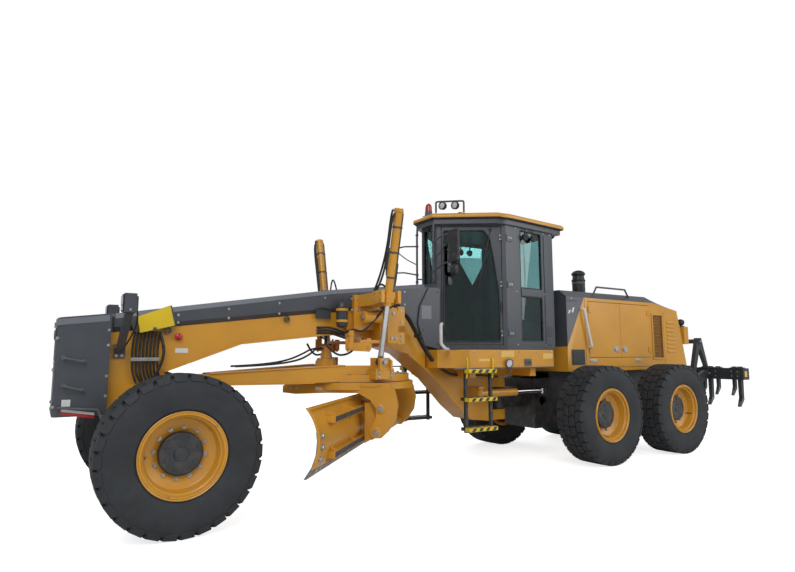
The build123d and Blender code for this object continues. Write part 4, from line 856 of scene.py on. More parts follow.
# ---------------------------------------------------------------- frame nodes
SKINS = [
    # node, finish, share of the edge rounding
    ("front_frame", "ochre", 1.2), ("front_covers", "slate", 1.2), ("headlamps", "slate", 1.2),
    ("lift_saddle", "ochre", 1.2), ("front_axle", "ochre", 1.2), ("knuckle_left", "ochre", 1),
    ("knuckle_right", "ochre", 1), ("tie_rod", "black", 0.6), ("cab_base", "ochre", 1.6),
    ("cab_shell", "slate", 1.2), ("cab_door_left", "slate", 0.8), ("cab_door_right", "slate", 0.8),
    ("cab_steps", "black", 0.8), ("rear_chassis", "black", 1.2), ("tandem_drive", "ochre", 2),
    ("engine_block", "dark_steel", 2.4), ("hood_shell", "ochre", 1.6), ("hood_top", "slate", 2.4),
    ("hood_door_front_left", "ochre", 0.8), ("hood_door_rear_left", "ochre", 0.8),
    ("hood_door_front_right", "ochre", 0.8), ("hood_door_rear_right", "ochre", 0.8),
    ("tail_lamps", "ochre", 1.2), ("ripper", "black", 1.2), ("ripper_barrel", "black", 0.6),
    ("ripper_rod", "chrome", 0), ("articulation_barrel_left", "ochre", 0.6),
    ("articulation_barrel_right", "ochre", 0.6), ("articulation_rod_left", "chrome", 0),
    ("articulation_rod_right", "chrome", 0), ("drawbar", "ochre", 1), ("circle_drive", "ochre", 1.2),
    ("circle", "ochre", 0.8), ("blade_carrier", "ochre", 1), ("moldboard", "ochre", 0.4),
    ("cutting_edge", "steel", 0.4), ("lift_rod_left", "chrome", 0), ("lift_rod_right", "chrome", 0),
    ("cab_roof", "ochre", 1.6),
]
PLAIN = [
    # node that is shown as it is, finish
    ("cab_glass", "glass"), ("cab_door_left_glass", "glass"), ("cab_door_right_glass", "glass"),
]


class GRADER_OT_skins(bpy.types.Operator):
    """Every steel node with rounded, worn edges and its paint"""

    bl_idname = "grader.skins"
    bl_label = "Steelwork"

    def execute(self, context):
        for node, look, share in SKINS:
            shape = skin(node, look, share)
            if node == "front_covers":
                for vertex in shape.data.vertices:
                    if vertex.co.x > back(-0.932):
                        vertex.co.x -= NOSE_SET_BACK
            if node == "hood_shell":
                # slate front part, split off along the slanted line between the panels
                low, high = spot(5.280, 0, 1.459), spot(5.741, 0, 2.316)
                across = (high - low).cross(Vector((0, 1, 0))).normalized()
                ahead = across if across.x > 0 else -across
                shape.data.materials.append(LOOKS["slate"])
                editing(shape)
                bpy.ops.mesh.bisect(plane_co=low, plane_no=ahead)
                bpy.ops.object.mode_set(mode="OBJECT")
                for face in shape.data.polygons:
                    if (face.center - low).dot(ahead) > 0.0005 and face.center.z > 1.45:
                        face.material_index = 2
        for node, look in PLAIN:
            shape = frame["nodes"][node]
            for place in shape.material_slots:
                place.material = LOOKS[look]
        return {"FINISHED"}


# ---------------------------------------------------------------- nose and beam
# front face of the nose, set back by the height of the lamps and bolts on it
NOSE_SET_BACK = 0.014
NOSE_FACE = back(-0.926)
NOSE_SIDE, COVER_SIDE, BEAM_SIDE = 0.330, 0.240, 0.200
HANDLE_REACH, TOE_REACH = 0.375, 0.365
COVER_TOP = [(-0.47, 1.860), (1.78, 2.220), (3.14, 2.380)]
COVER_UNDER = [(-0.47, 1.684), (0.22, 1.770), (1.44, 1.920), (2.75, 2.060)]


def along(line, distance):
    """Height of a line of (behind, height) points at a distance."""
    for (first, low), (second, high) in zip(line, line[1:]):
        if first <= distance <= second:
            return low + (high - low) * (distance - first) / (second - first)
    return line[-1][1]


class GRADER_OT_nose(bpy.types.Operator):
    """Nose box: grab bars, tie-down rails, marker lamps, reflectors, bare labels and lighter bands that
    paint a highlight on the cover's top edges
    """

    bl_idname = "grader.nose"
    bl_label = "Nose"

    def execute(self, context):
        for side in BOTH_SIDES:
            y = side * 0.331
            for low, high in (((-0.861, 1.446), (-0.700, 1.412)), ((-0.850, 1.202), (-0.700, 1.158))):
                run = spots((low[0], y, low[1]), (low[0], side * HANDLE_REACH, low[1]),
                            (high[0], side * HANDLE_REACH, high[1]), (high[0], y, high[1]))
                rail(run, 0.010)
                for end in (run[0], run[3]):
                    disc(end - Vector((0, side * 0.004, 0)), (0, side, 0), 0.022, 0.010)
            rail(spots((-0.880, y, 1.014), (-0.880, side * TOE_REACH, 1.014),
                       (-0.570, side * TOE_REACH, 0.985), (-0.540, side * TOE_REACH, 0.905),
                       (-0.540, y, 0.900)), 0.011)
        piece("nose_grab_bars", "front", "grey_plastic")
        # painted highlight: a lighter band along the top edges of the nose and the beam cover, where they
        # face the light
        for side in BOTH_SIDES:
            edge = [(-0.938, 1.775), (-0.515, 1.827)]
            slab(in_plane(side * 0.3315, (edge[0][0], edge[0][1] - 0.045), (edge[1][0], edge[1][1] - 0.045),
                          (edge[1][0], edge[1][1] + 0.012), (edge[0][0], edge[0][1] + 0.012)),
                 (0, side * 0.003, 0), 0.001, 1)
            tops = [(-0.46, along(COVER_TOP, -0.46)), (1.78, 2.220), (3.12, along(COVER_TOP, 3.12))]
            for (first, low), (second, high) in zip(tops, tops[1:]):
                slab(on_side(side, (first, 0.2385, low - 0.052), (second, 0.2385, high - 0.052),
                             (second, 0.198, high - 0.001), (first, 0.198, low - 0.001)),
                     (0, side * 0.0038, 0.0038), 0.001, 1)
        piece("cover_edge_painted_highlights", "front", "band")
        places = []
        for side in BOTH_SIDES:
            for distance, z in ((-0.515, 1.70), (-0.515, 1.56), (-0.515, 1.28), (-0.515, 1.10),
                                (-0.92, 1.62), (-0.92, 1.02)):
                places.append((spot(distance, side * NOSE_SIDE, z), (0, side, 0)))
            for distance in (0.10, 0.60, 1.15, 1.70, 2.25, 2.80):
                for line, shift in ((COVER_UNDER, 0.035), (COVER_TOP, -0.085)):
                    z = along(line, distance) + shift
                    places.append((spot(distance, side * COVER_SIDE, z), (0, side, 0)))
        for side in BOTH_SIDES:
            bolts([place for place, axis in places if axis[1] == side], (0, side, 0), 0.010)
        bolts([Vector((NOSE_FACE, y, z)) for y in (-0.20, 0.20) for z in (1.03, 1.33)], (1, 0, 0), 0.014)
        bolts([Vector((NOSE_FACE, y, z)) for y in (-0.27, -0.09, 0.09, 0.27) for z in (0.965, 1.74)],
              (1, 0, 0), 0.010)
        piece("nose_and_cover_bolts", "front", "zinc")
        # counterweight ribs and seam on the front face
        for y in (-0.17, 0.17):
            box((NOSE_FACE, back(-0.929)), (y - 0.055, y + 0.055), (1.42, 1.62), 0.001)
        box((NOSE_FACE, back(-0.9285)), (-0.285, 0.285), (1.385, 1.392), 0.001)
        box((NOSE_FACE, back(-0.9285)), (-0.285, 0.285), (0.985, 0.992), 0.001)
        piece("nose_face_plates", "front", "slate")
        for side in BOTH_SIDES:
            behind_box((-0.855, -0.787), (0.330, 0.3325), (1.020, 1.080), side, 0.0008)
            side_y = side * 0.3325
            slab(in_plane(side_y, (-0.855, 0.978), (-0.596, 0.935), (-0.596, 0.958), (-0.855, 1.001)),
                 (0, side * 0.002, 0), 0.0006, 1)
            behind_box((0.092, 0.215), (0.2005, 0.203), (1.490, 1.535), side, 0.0008)
        piece("blank_labels_front", "front", "white")
        for side in BOTH_SIDES:
            side_y = side * 0.3325
            slab(in_plane(side_y, (-0.855, 0.950), (-0.596, 0.905), (-0.596, 0.934), (-0.855, 0.977)),
                 (0, side * 0.002, 0), 0.0006, 1)
            # emergency stop with its mushroom head, on the beam's side
            lathe(spot(0.115, side * 0.2005, 1.650), (0, side, 0),
                  [(0.0, 0.0), (0.0, 0.020), (0.018, 0.020), (0.022, 0.036), (0.032, 0.036), (0.040, 0.026),
                   (0.043, 0.0)], 28)
        piece("red_reflectors_and_knobs", "front", "red")
        for side in BOTH_SIDES:
            lathe(Vector((NOSE_FACE, side * 0.245, 1.665)), (1, 0, 0),
                  [(0.0, 0.0), (0.0, 0.045), (0.008, 0.045), (0.011, 0.040), (0.011, 0.0)], 32)
        piece("marker_bezels", "front", "plastic", "lamp_plastic")
        for side in BOTH_SIDES:
            lathe(Vector((NOSE_FACE, side * 0.245, 1.665)), (1, 0, 0),
                  [(0.009, 0.0), (0.009, 0.037), (0.0115, 0.034), (0.0130, 0.020), (0.0135, 0.0)], 32)
        piece("marker_lenses", "front", "amber")
        # storage box shell beside the cover
        side_slab([(-0.280, 1.832), (0.012, 1.9545), (0.0625, 1.7555), (-0.2495, 1.6765)], (0.2415, 0.3015),
                  0.007)
        piece("storage_box_shell", "front", "lemon")
        side_slab([(0.012, 1.951), (0.030, 1.958), (0.082, 1.757), (0.063, 1.753)], (0.2415, 0.270))
        side_slab([(-0.330, 1.792), (-0.283, 1.822), (-0.254, 1.683), (-0.300, 1.690)], (0.2415, 0.262))
        behind_box((-0.135, -0.105), (0.3015, 0.310), (1.700, 1.735), 1, 0.003)
        piece("storage_box_catch", "front", "slate")
        # lifting eyes under the cover's edge, flange strip along the beam
        for side in BOTH_SIDES:
            for distance in (0.014, 1.25):
                z = along(COVER_UNDER, distance) - 0.035
                hoop(spot(distance, side * 0.222, z), (0, side, 0), 0.008, 0.018, 0.034, 24)
        piece("lifting_eyes", "front", "dark_steel")
        line = [(0.0, 1.300), (0.75, 1.580), (1.66, 1.680), (2.03, 1.710), (2.85, 1.480), (3.29, 1.160)]
        for side in BOTH_SIDES:
            for (first, low), (second, high) in zip(line, line[1:]):
                slab(in_plane(side * 0.200, (first, low), (second, high), (second, high + 0.022),
                              (first, low + 0.022)), (0, side * 0.022, 0), 0.003, 1)
        piece("beam_flanges", "front", "ochre")
        return {"FINISHED"}


class GRADER_OT_headlamps(bpy.types.Operator):
    """Headlamp bezels, lenses and foot bolts"""

    bl_idname = "grader.headlamps"
    bl_label = "Headlamps"

    def execute(self, context):
        face = back(-0.450)
        for side in BOTH_SIDES:
            box((face, face + 0.012), flank(side, 0.638, 0.762), (1.848, 2.002), 0.006)
            behind_box((-0.36, -0.335), (0.650, 0.750), (1.860, 1.990), side, 0.010)
            hose(on_side(side, (-0.340, 0.66, 1.90), (-0.30, 0.58, 1.80), (-0.34, 0.40, 1.62),
                         (-0.40, 0.24, 1.50)), 0.007)
        piece("headlamp_bezels", "front", "plastic", "lamp_plastic")
        for side in BOTH_SIDES:
            box((face + 0.009, face + 0.018), flank(side, 0.650, 0.750), (1.905, 1.992), 0.008)
            box((face + 0.009, face + 0.016), flank(side, 0.650, 0.750), (1.858, 1.897), 0.006)
        piece("headlamp_lenses", "front", "clear")
        for side in BOTH_SIDES:
            bolts([spot(d, side * 0.220, z) for d in (-0.385, -0.435) for z in (1.462, 1.548)],
                  (0, side, 0), 0.011)
            bolts([spot(-0.40, side * 0.765, 1.865)], (0, side, 0), 0.012)
        piece("headlamp_bolts", "front", "zinc")
        return {"FINISHED"}


class GRADER_OT_beam_hoses(bpy.types.Operator):
    """Hose bundles on the beam with their clamps, and the hoses under the body"""

    bl_idname = "grader.beam_hoses"
    bl_label = "Hoses"

    def execute(self, context):
        radius = context.scene.grader_sizes.hose
        for side in BOTH_SIDES:
            # bundle that drops down the beam's side behind the headlamp
            for step in range(8):
                x = -0.300 + step * 0.032
                drop = 1.20 + 0.02 * math.sin(step * 2.1)
                hose(on_side(side, (x + 0.02, 0.225, 1.70), (x, 0.232, 1.60), (x, 0.236, 1.42),
                             (x + 0.012, 0.232, 1.28), (x + 0.05, 0.222, drop)), radius * 0.82)
            hose(on_side(side, (-0.06, 0.228, 1.68), (-0.02, 0.262, 1.56), (-0.03, 0.275, 1.42),
                         (-0.09, 0.250, 1.26), (-0.16, 0.225, 1.12)), radius * 1.2)
            # short run from the beam's window to the saddle
            for step in range(3):
                z = -0.02 - step * 0.030
                hose(on_side(side, (1.62, 0.20, 1.80 + z), (1.68, 0.25, 1.80 + z), (1.80, 0.24, 1.80 + z),
                             (1.95, 0.26, 1.74 + z)), radius)
        piece("beam_hoses", "front", "hose")
        for side in BOTH_SIDES:
            behind_box((-0.310, -0.055), (0.200, 0.214), (1.413, 1.443), side, 0.003)
            behind_box((-0.310, -0.055), (0.246, 0.252), (1.410, 1.446), side, 0.003)
        piece("hose_clamps", "front", "zinc")
        # hoses from the beam to the articulation and the rear frame stay with the front
        for side in BOTH_SIDES:
            for step in range(3):
                y = side * (0.285 + 0.026 * step)
                hose(spots((2.66, side * 0.25, 2.00), (2.75, y, 1.99), (2.841, y, 1.88), (2.968, y, 1.673),
                           (3.150, y, 1.40), (3.393, y + side * 0.05, 1.215),
                           (3.607, y + side * 0.08, 1.195), (3.95, y, 1.20), (4.25, y, 1.17)), radius * 1.2)
            slab(in_plane(side * 0.24, (2.93, 1.70), (2.965, 1.675), (2.98, 1.70), (2.945, 1.725)),
                 (0, side * 0.135, 0), 0.003, 1)
        piece("underbody_hoses", "front", "hose")
        return {"FINISHED"}


# ---------------------------------------------------------------- lift arms and saddle
class GRADER_OT_lift_cylinders(bpy.types.Operator):
    """Round barrels with glands, side pipes and trunnion caps, and their hoses"""

    bl_idname = "grader.lift_cylinders"
    bl_label = "Lift cylinders"

    def execute(self, context):
        radius = context.scene.grader_sizes.hose
        for name, side in NAMED_SIDES:
            trunnion, foot = on_side(side, (2.2, 0.820, 2.110), (2.2, 0.650, 1.390))
            up = (trunnion - foot).normalized()
            across = Vector((1, 0, 0))
            out = up.cross(across) * (1 if up.cross(across).y * side > 0 else -1)

            def hung(rise, sideways, outward, trunnion=trunnion, up=up, across=across, out=out):
                return trunnion + up * rise + across * sideways + out * outward
            lathe(trunnion, up,
                  [(-0.100, 0.034), (-0.100, 0.050), (-0.092, 0.0535), (-0.050, 0.0535), (-0.045, 0.047),
                   (0.945, 0.047), (0.950, 0.0535), (0.982, 0.0535), (0.989, 0.047), (0.989, 0.0),
                   (0.955, 0.0), (0.955, 0.0345)], 40)
            lathe(trunnion, across,
                  [(-0.080, 0.0), (-0.080, 0.040), (-0.052, 0.040), (-0.052, 0.058), (0.052, 0.058),
                   (0.052, 0.040), (0.080, 0.040), (0.080, 0.0)], 28)
            block = ((-0.06, -1), (-0.06, 1), (0.06, 1), (0.06, -1))
            slab([trunnion + up * rise + across * way * 0.056 - out * 0.056 for rise, way in block],
                 out * 0.112, 0.008)
            barrel = "lift_barrel_" + name
            piece(barrel + "_tube", barrel, "ochre", replaces=(barrel,))
            pipe = -across * 0.062
            hose([trunnion + up * 0.06 + pipe * 0.8, trunnion + up * 0.08 + pipe,
                  trunnion + up * 0.45 + pipe, trunnion + up * 0.90 + pipe,
                  trunnion + up * 0.955 + pipe * 0.95, trunnion + up * 0.965 + pipe * 0.4], 0.009)
            for height in (0.22, 0.50, 0.78):
                hoop(trunnion + up * height, up, 0.011, 0.0475, 0.0495, 32)
                disc(trunnion + up * (height - 0.010) + pipe, up, 0.0125, 0.020, 12, 0.002)
            piece("lift_pipe_" + name, barrel, "slate", "grey_paint")
            for height in (0.965, -0.075):
                disc(trunnion + up * height - out * 0.020 + across * 0.03, across, 0.012, 0.035, 12, 0.002)
                disc(trunnion + up * height - out * 0.020 + across * 0.052, across, 0.015, 0.014, 6, 0.002)
            bolts([trunnion + up * 0.9885 + (across * math.cos(turn) + out * math.sin(turn)) * 0.034
                   for turn in (0.8, 2.4, 3.9, 5.5)], up, 0.007)
            piece("lift_fittings_" + name, barrel, "zinc")
            # hoses that hang from the barrel's ports and loop back to the saddle
            side_run = -across * 0.085
            hose([hung(0.965, 0.066, -0.02), hung(0.91, 0.080, -0.02),
                  hung(0.55, 0.074, -0.025), hung(0.20, 0.098, -0.07),
                  hung(0.06, 0.125, -0.105)], radius)
            hose([hung(0.93, 0.060, 0.02), hung(0.88, 0.084, 0.015),
                  hung(0.50, 0.078, 0.01), hung(0.16, 0.090, -0.03),
                  hung(0.02, 0.120, -0.10)], radius)
            hose([trunnion + up * 0.20 + side_run - out * 0.02,
                  trunnion + up * 0.40 + side_run * 1.25 - out * 0.06,
                  trunnion + up * 0.34 + side_run * 1.6 - out * 0.10,
                  trunnion + up * 0.12 + side_run * 1.7 - out * 0.12], radius * 0.9)
            piece("lift_hoses_" + name, barrel, "hose")
            # gland nut at the rod's way out, eye cap over the ball
            lathe(foot, (0, 1, 0),
                  [(-0.036, 0.0), (-0.036, 0.030), (-0.030, 0.046), (0.030, 0.046), (0.036, 0.030),
                   (0.036, 0.0)], 28)
            slab(ring(foot + up * 0.040, up, 0.036, 6), up * 0.030, 0.003)
            piece("lift_eye_" + name, "lift_rod_" + name, "dark_steel")
        return {"FINISHED"}


class GRADER_OT_saddle(bpy.types.Operator):
    """Saddle fittings: tube caps, ears, link bar with its lock, accumulators, hoses"""

    bl_idname = "grader.saddle"
    bl_label = "Saddle"

    def execute(self, context):
        radius = context.scene.grader_sizes.hose
        for side in BOTH_SIDES:
            for distance, way in ((2.48, -1), (2.14, 1)):
                lathe(spot(distance, side * 0.420, 1.900), (way, 0, 0),
                      [(0.0, 0.0), (0.0, 0.072), (0.030, 0.072), (0.036, 0.066), (0.036, 0.0)], 36)
            # ear with its rounded head and the pierced plate beside it
            ear = [(2.39, 1.60), (2.53, 1.60), (2.545, 1.93), (2.525, 2.000), (2.465, 2.030),
                   (2.405, 2.000), (2.385, 1.93)]
            side_slab(ear, flank(side, 0.486, 0.506))
            for low, high in ((1.585, 1.735), (1.805, 2.045)):
                side_slab([(2.56, low), (2.66, low + 0.01), (2.66, high), (2.56, high)],
                          flank(side, 0.440, 0.458))
            for lug in (2.185, 1.915):
                side_slab([(lug - 0.03, 1.66), (lug + 0.03, 1.66), (lug + 0.03, 1.53), (lug, 1.50),
                           (lug - 0.03, 1.53)], flank(side, 0.400, 0.425))
            behind_box((2.06, 2.48), (0.301, 0.43), (1.600, 1.640), side, 0.006)
        piece("saddle_ears", "front", "ochre")
        for side in BOTH_SIDES:
            # link bar with two holes and the lock cylinder above it
            outline = [(1.895, 1.545), (1.920, 1.515), (2.170, 1.505), (2.200, 1.535), (2.200, 1.575),
                       (2.175, 1.600), (1.925, 1.610), (1.895, 1.585)]
            side_slab(outline, flank(side, 0.428, 0.448))
            for centre in ((1.935, 1.562), (2.160, 1.552)):
                lathe(spot(centre[0], side * 0.449, centre[1]), (0, side, 0),
                      [(0.0, 0.012), (0.0, 0.026), (0.006, 0.026), (0.006, 0.012)], 24)
            lathe(spot(1.945, side * 0.430, 1.530), (0, 0, 1),
                  [(0.0, 0.0), (0.0, 0.032), (0.15, 0.032), (0.155, 0.038), (0.185, 0.038), (0.19, 0.030),
                   (0.215, 0.030), (0.215, 0.0)], 28)
        piece("lock_link", "front", "ochre")
        for side in BOTH_SIDES:
            # accumulator bottle in its straps
            lathe(spot(1.876, side * 0.330, 1.780), (0, 0, 1),
                  [(0.0, 0.0), (0.0, 0.035), (0.015, 0.060), (0.060, 0.068), (0.230, 0.068), (0.275, 0.058),
                   (0.300, 0.034), (0.312, 0.018), (0.330, 0.018), (0.330, 0.0)], 36)
            for turn in range(6):
                place = spot(2.40 + 0.02 * (turn % 3), side * (0.452 + 0.02 * (turn // 3)),
                             2.045 + 0.03 * (turn % 2))
                disc(place, (0.3, side, 0.4), 0.016, 0.05, 6, 0.003)
            behind_box((1.58, 1.77), (0.2415, 0.252), (1.88, 2.00), side, 0.005)
            hose(on_side(side, (1.60, 0.262, 1.99), (1.66, 0.285, 2.02), (1.74, 0.262, 1.99)), 0.008)
        piece("saddle_bottles", "front", "black")
        for side in BOTH_SIDES:
            for z in (1.855, 1.985):
                hoop(spot(1.876, side * 0.330, z), (0, 0, 1), 0.014, 0.0685, 0.0725, 36)
                behind_box((1.862, 1.890), (0.2415, 0.264), (z - 0.014, z + 0.014), side, 0.002)
        piece("bottle_straps", "front", "ochre")
        for side in BOTH_SIDES:
            bolts([spot(d, side * 0.3012, z) for d in (2.02, 2.10, 2.33) for z in (1.99, 2.12)],
                  (0, side, 0), 0.013)
            bolts(in_plane(side * 0.507, (2.465, 1.955), (2.44, 1.66), (2.50, 1.66)), (0, side, 0), 0.017)
            bolts([spot(2.61, side * 0.459, z) for z in (1.63, 1.69, 1.86, 1.99)], (0, side, 0), 0.011)
            for distance, way in ((2.516, -1), (2.104, 1)):
                bolts([spot(distance, side * 0.42, 1.90)], (way, 0, 0), 0.026)
            for y in (0.735, 0.86):
                for distance, way in ((2.328, -1), (2.072, 1)):
                    bolts([spot(distance, side * y, z) for z in (2.155, 2.065)], (way, 0, 0), 0.011)
        piece("saddle_bolts", "front", "zinc")
        for side in BOTH_SIDES:
            hose(on_side(side, (1.95, 0.262, 1.72), (2.02, 0.33, 1.78), (2.10, 0.39, 1.72),
                         (2.20, 0.46, 1.83), (2.30, 0.50, 1.96), (2.36, 0.53, 2.06)), radius)
            hose(on_side(side, (1.70, 0.25, 1.60), (1.80, 0.31, 1.46), (1.95, 0.34, 1.47),
                         (2.05, 0.37, 1.56), (2.12, 0.40, 1.66)), radius)
            hose(on_side(side, (2.45, 0.47, 2.08), (2.40, 0.50, 2.23), (2.28, 0.55, 2.30),
                         (2.18, 0.60, 2.24), (2.10, 0.64, 2.17)), radius)
            hose(on_side(side, (2.48, 0.46, 2.08), (2.55, 0.40, 2.18), (2.60, 0.32, 2.12),
                         (2.62, 0.26, 2.00)), radius)
        piece("saddle_hoses", "front", "hose")
        return {"FINISHED"}


# ---------------------------------------------------------------- circle, drawbar and blade
class GRADER_OT_circle(bpy.types.Operator):
    """Circle teeth, bolts, arm plates and bare labels, drawbar flanges, gearbox with its hoses"""

    bl_idname = "grader.circle"
    bl_label = "Circle and drawbar"

    def execute(self, context):
        centre = Vector((CIRCLE_X, 0, 0))
        # teeth inside the ring
        tooth = slab([(0.538, -0.020, 1.085), (0.562, -0.028, 1.085), (0.562, 0.028, 1.085),
                      (0.538, 0.020, 1.085)], (0, 0, 0.070), 0.003, 1)
        bench.clear()
        for step in range(60):
            twin = placed(tooth, (0, 0, 0))
            twin.data.transform(Matrix.Translation(centre) @ Matrix.Rotation(2 * math.pi * step / 60, 4,
                    "Z"))
        bpy.data.objects.remove(tooth)
        piece("circle_teeth", "circle", "dark_steel", "wear_steel")
        for side in BOTH_SIDES:
            y = side * 0.6505
            axis = on_circle(0, side, 0) - on_circle(0, 0, 0)
            for x in (0.60, 0.52):
                bolts([on_circle(x, y, 1.105)], axis, 0.015)
            bolts([on_circle(-0.4 + 0.046 * math.cos(turn), y, 0.63 + 0.046 * math.sin(turn))
                   for turn in (0.5, 2.1, 3.6, 5.2)], axis, 0.009)
            bolts([on_circle(-0.445, side * 0.668, 0.885), on_circle(-0.400, side * 0.668, 0.630)], axis,
                  0.024)
        piece("circle_bolts", "circle", "zinc")
        for side in BOTH_SIDES:
            axis = on_circle(0, side, 0) - on_circle(0, 0, 0)
            band = [(0.62, 1.135), (0.62, 1.118), (-0.40, 1.118), (-0.46, 1.135)]
            slab([on_circle(x, side * 0.650, z) for x, z in band], axis * 0.010, 0.003, 1)
            for x, z, radius in ((-0.445, 0.885, 0.050), (-0.400, 0.630, 0.062)):
                lathe(on_circle(x, side * 0.650, z), axis,
                      [(0.0, 0.0), (0.0, radius), (0.012, radius), (0.018, radius - 0.008), (0.018, 0.0)],
                      32)
        piece("circle_arm_plates", "circle", "ochre")
        for side in BOTH_SIDES:
            axis = on_circle(0, side, 0) - on_circle(0, 0, 0)
            slab(across_blade(side * 0.6503, (0.02, 1.075), (0.30, 1.075), (0.30, 1.112), (0.02, 1.112)),
                 axis * 0.002, 0.0006, 1)
        piece("circle_labels", "circle", "white")
        # drawbar: channel flanges, disc bolts, lug pins
        for side in BOTH_SIDES:
            for run in (((0.45, 0.0888, 1.268), (1.85, 0.418, 1.344)),
                        ((0.45, 0.0888, 1.152), (1.52, 0.340, 1.152))):
                first, second = (spot(d, side * (y - 0.070), z) for d, y, z in run)
                slab([first, second, second + UP * 0.012, first + UP * 0.012], (0, side * 0.140, 0), 0.003,
                     1)
            behind_box((2.085, 2.315), (0.60, 0.765), (1.3002, 1.318), side, 0.005)
            for distance in (2.13, 2.27):
                side_slab([(distance - 0.012, 1.30), (distance + 0.012, 1.30), (distance + 0.012, 1.40),
                           (distance - 0.012, 1.42)], flank(side, 0.752, 0.790), 0.003)
        piece("drawbar_flanges", "drawbar", "ochre")
        turns = [2 * math.pi * step / 20 for step in range(20)]
        bolts(around(centre, 0.60, turns, 1.245), UP, 0.016)
        gear = spot(1.830, 0, 1.420)
        bolts(around(gear, 0.085, turns[::3]), UP, 0.012)
        for side in BOTH_SIDES:
            bolts([spot(d, side * 0.765, z) for d in (2.12, 2.28) for z in (1.225, 1.275)], (0, side, 0),
                  0.013)
            bolts([spot(2.20, side * 0.7505, 1.39)], (0, side, 0), 0.030)
        piece("drawbar_bolts", "drawbar", "zinc")
        lathe(gear - UP * 0.19, UP,
              [(0.0, 0.0), (0.0, 0.155), (0.020, 0.160), (0.045, 0.155), (0.050, 0.125), (0.165, 0.118),
               (0.170, 0.112), (0.170, 0.0)], 48)
        for turn in turns[::5]:
            out = Vector((math.cos(turn + 0.3), math.sin(turn + 0.3), 0))
            side_run = out.cross(UP) * 0.010
            slab([gear - UP * 0.145 + out * 0.10 - side_run, gear - UP * 0.145 + out * 0.150 - side_run,
                  gear - UP * 0.03 + out * 0.112 - side_run, gear - UP * 0.03 + out * 0.10 - side_run],
                 side_run * 2, 0.003, 1)
        lathe(gear + UP * 0.058, UP,
              [(0.0, 0.0), (0.0, 0.060), (0.012, 0.060), (0.012, 0.050), (0.090, 0.048), (0.105, 0.040),
               (0.105, 0.0)], 36)
        piece("gearbox_case", "drawbar", "ochre")
        for side in BOTH_SIDES:
            hose(offsets(gear, (0.05, side * 0.02, 0.12), (0.14, side * 0.05, 0.13),
                         (0.24, side * 0.12, 0.06), (0.42, side * 0.16, -0.02), (0.75, side * 0.13, -0.065),
                         (1.1, side * 0.08, -0.075)), 0.011)
        lathe(gear + UP * 0.16, UP, [(0.0, 0.0), (0.0, 0.018), (0.20, 0.018), (0.205, 0.0)], 16)
        piece("gearbox_hoses", "drawbar", "hose")
        return {"FINISHED"}


BLADE_SIDES = (1.939, -2.161)
MIDDLE_Z = 0.700
ARC = 0.450
BIT_BOLT_HEIGHTS = (0.46, 0.56, 0.66, 0.76)
SLIDE_HEIGHTS = (0.880, 0.560)
SHIFT_HEIGHT = 0.722


def blade_front(z):
    """X of the blade's hollow face at a height, in the circle's directions."""
    return -0.05 - ARC + math.sqrt(ARC ** 2 - 0.305 ** 2) + ARC - math.sqrt(ARC ** 2 - (z - MIDDLE_Z) ** 2)


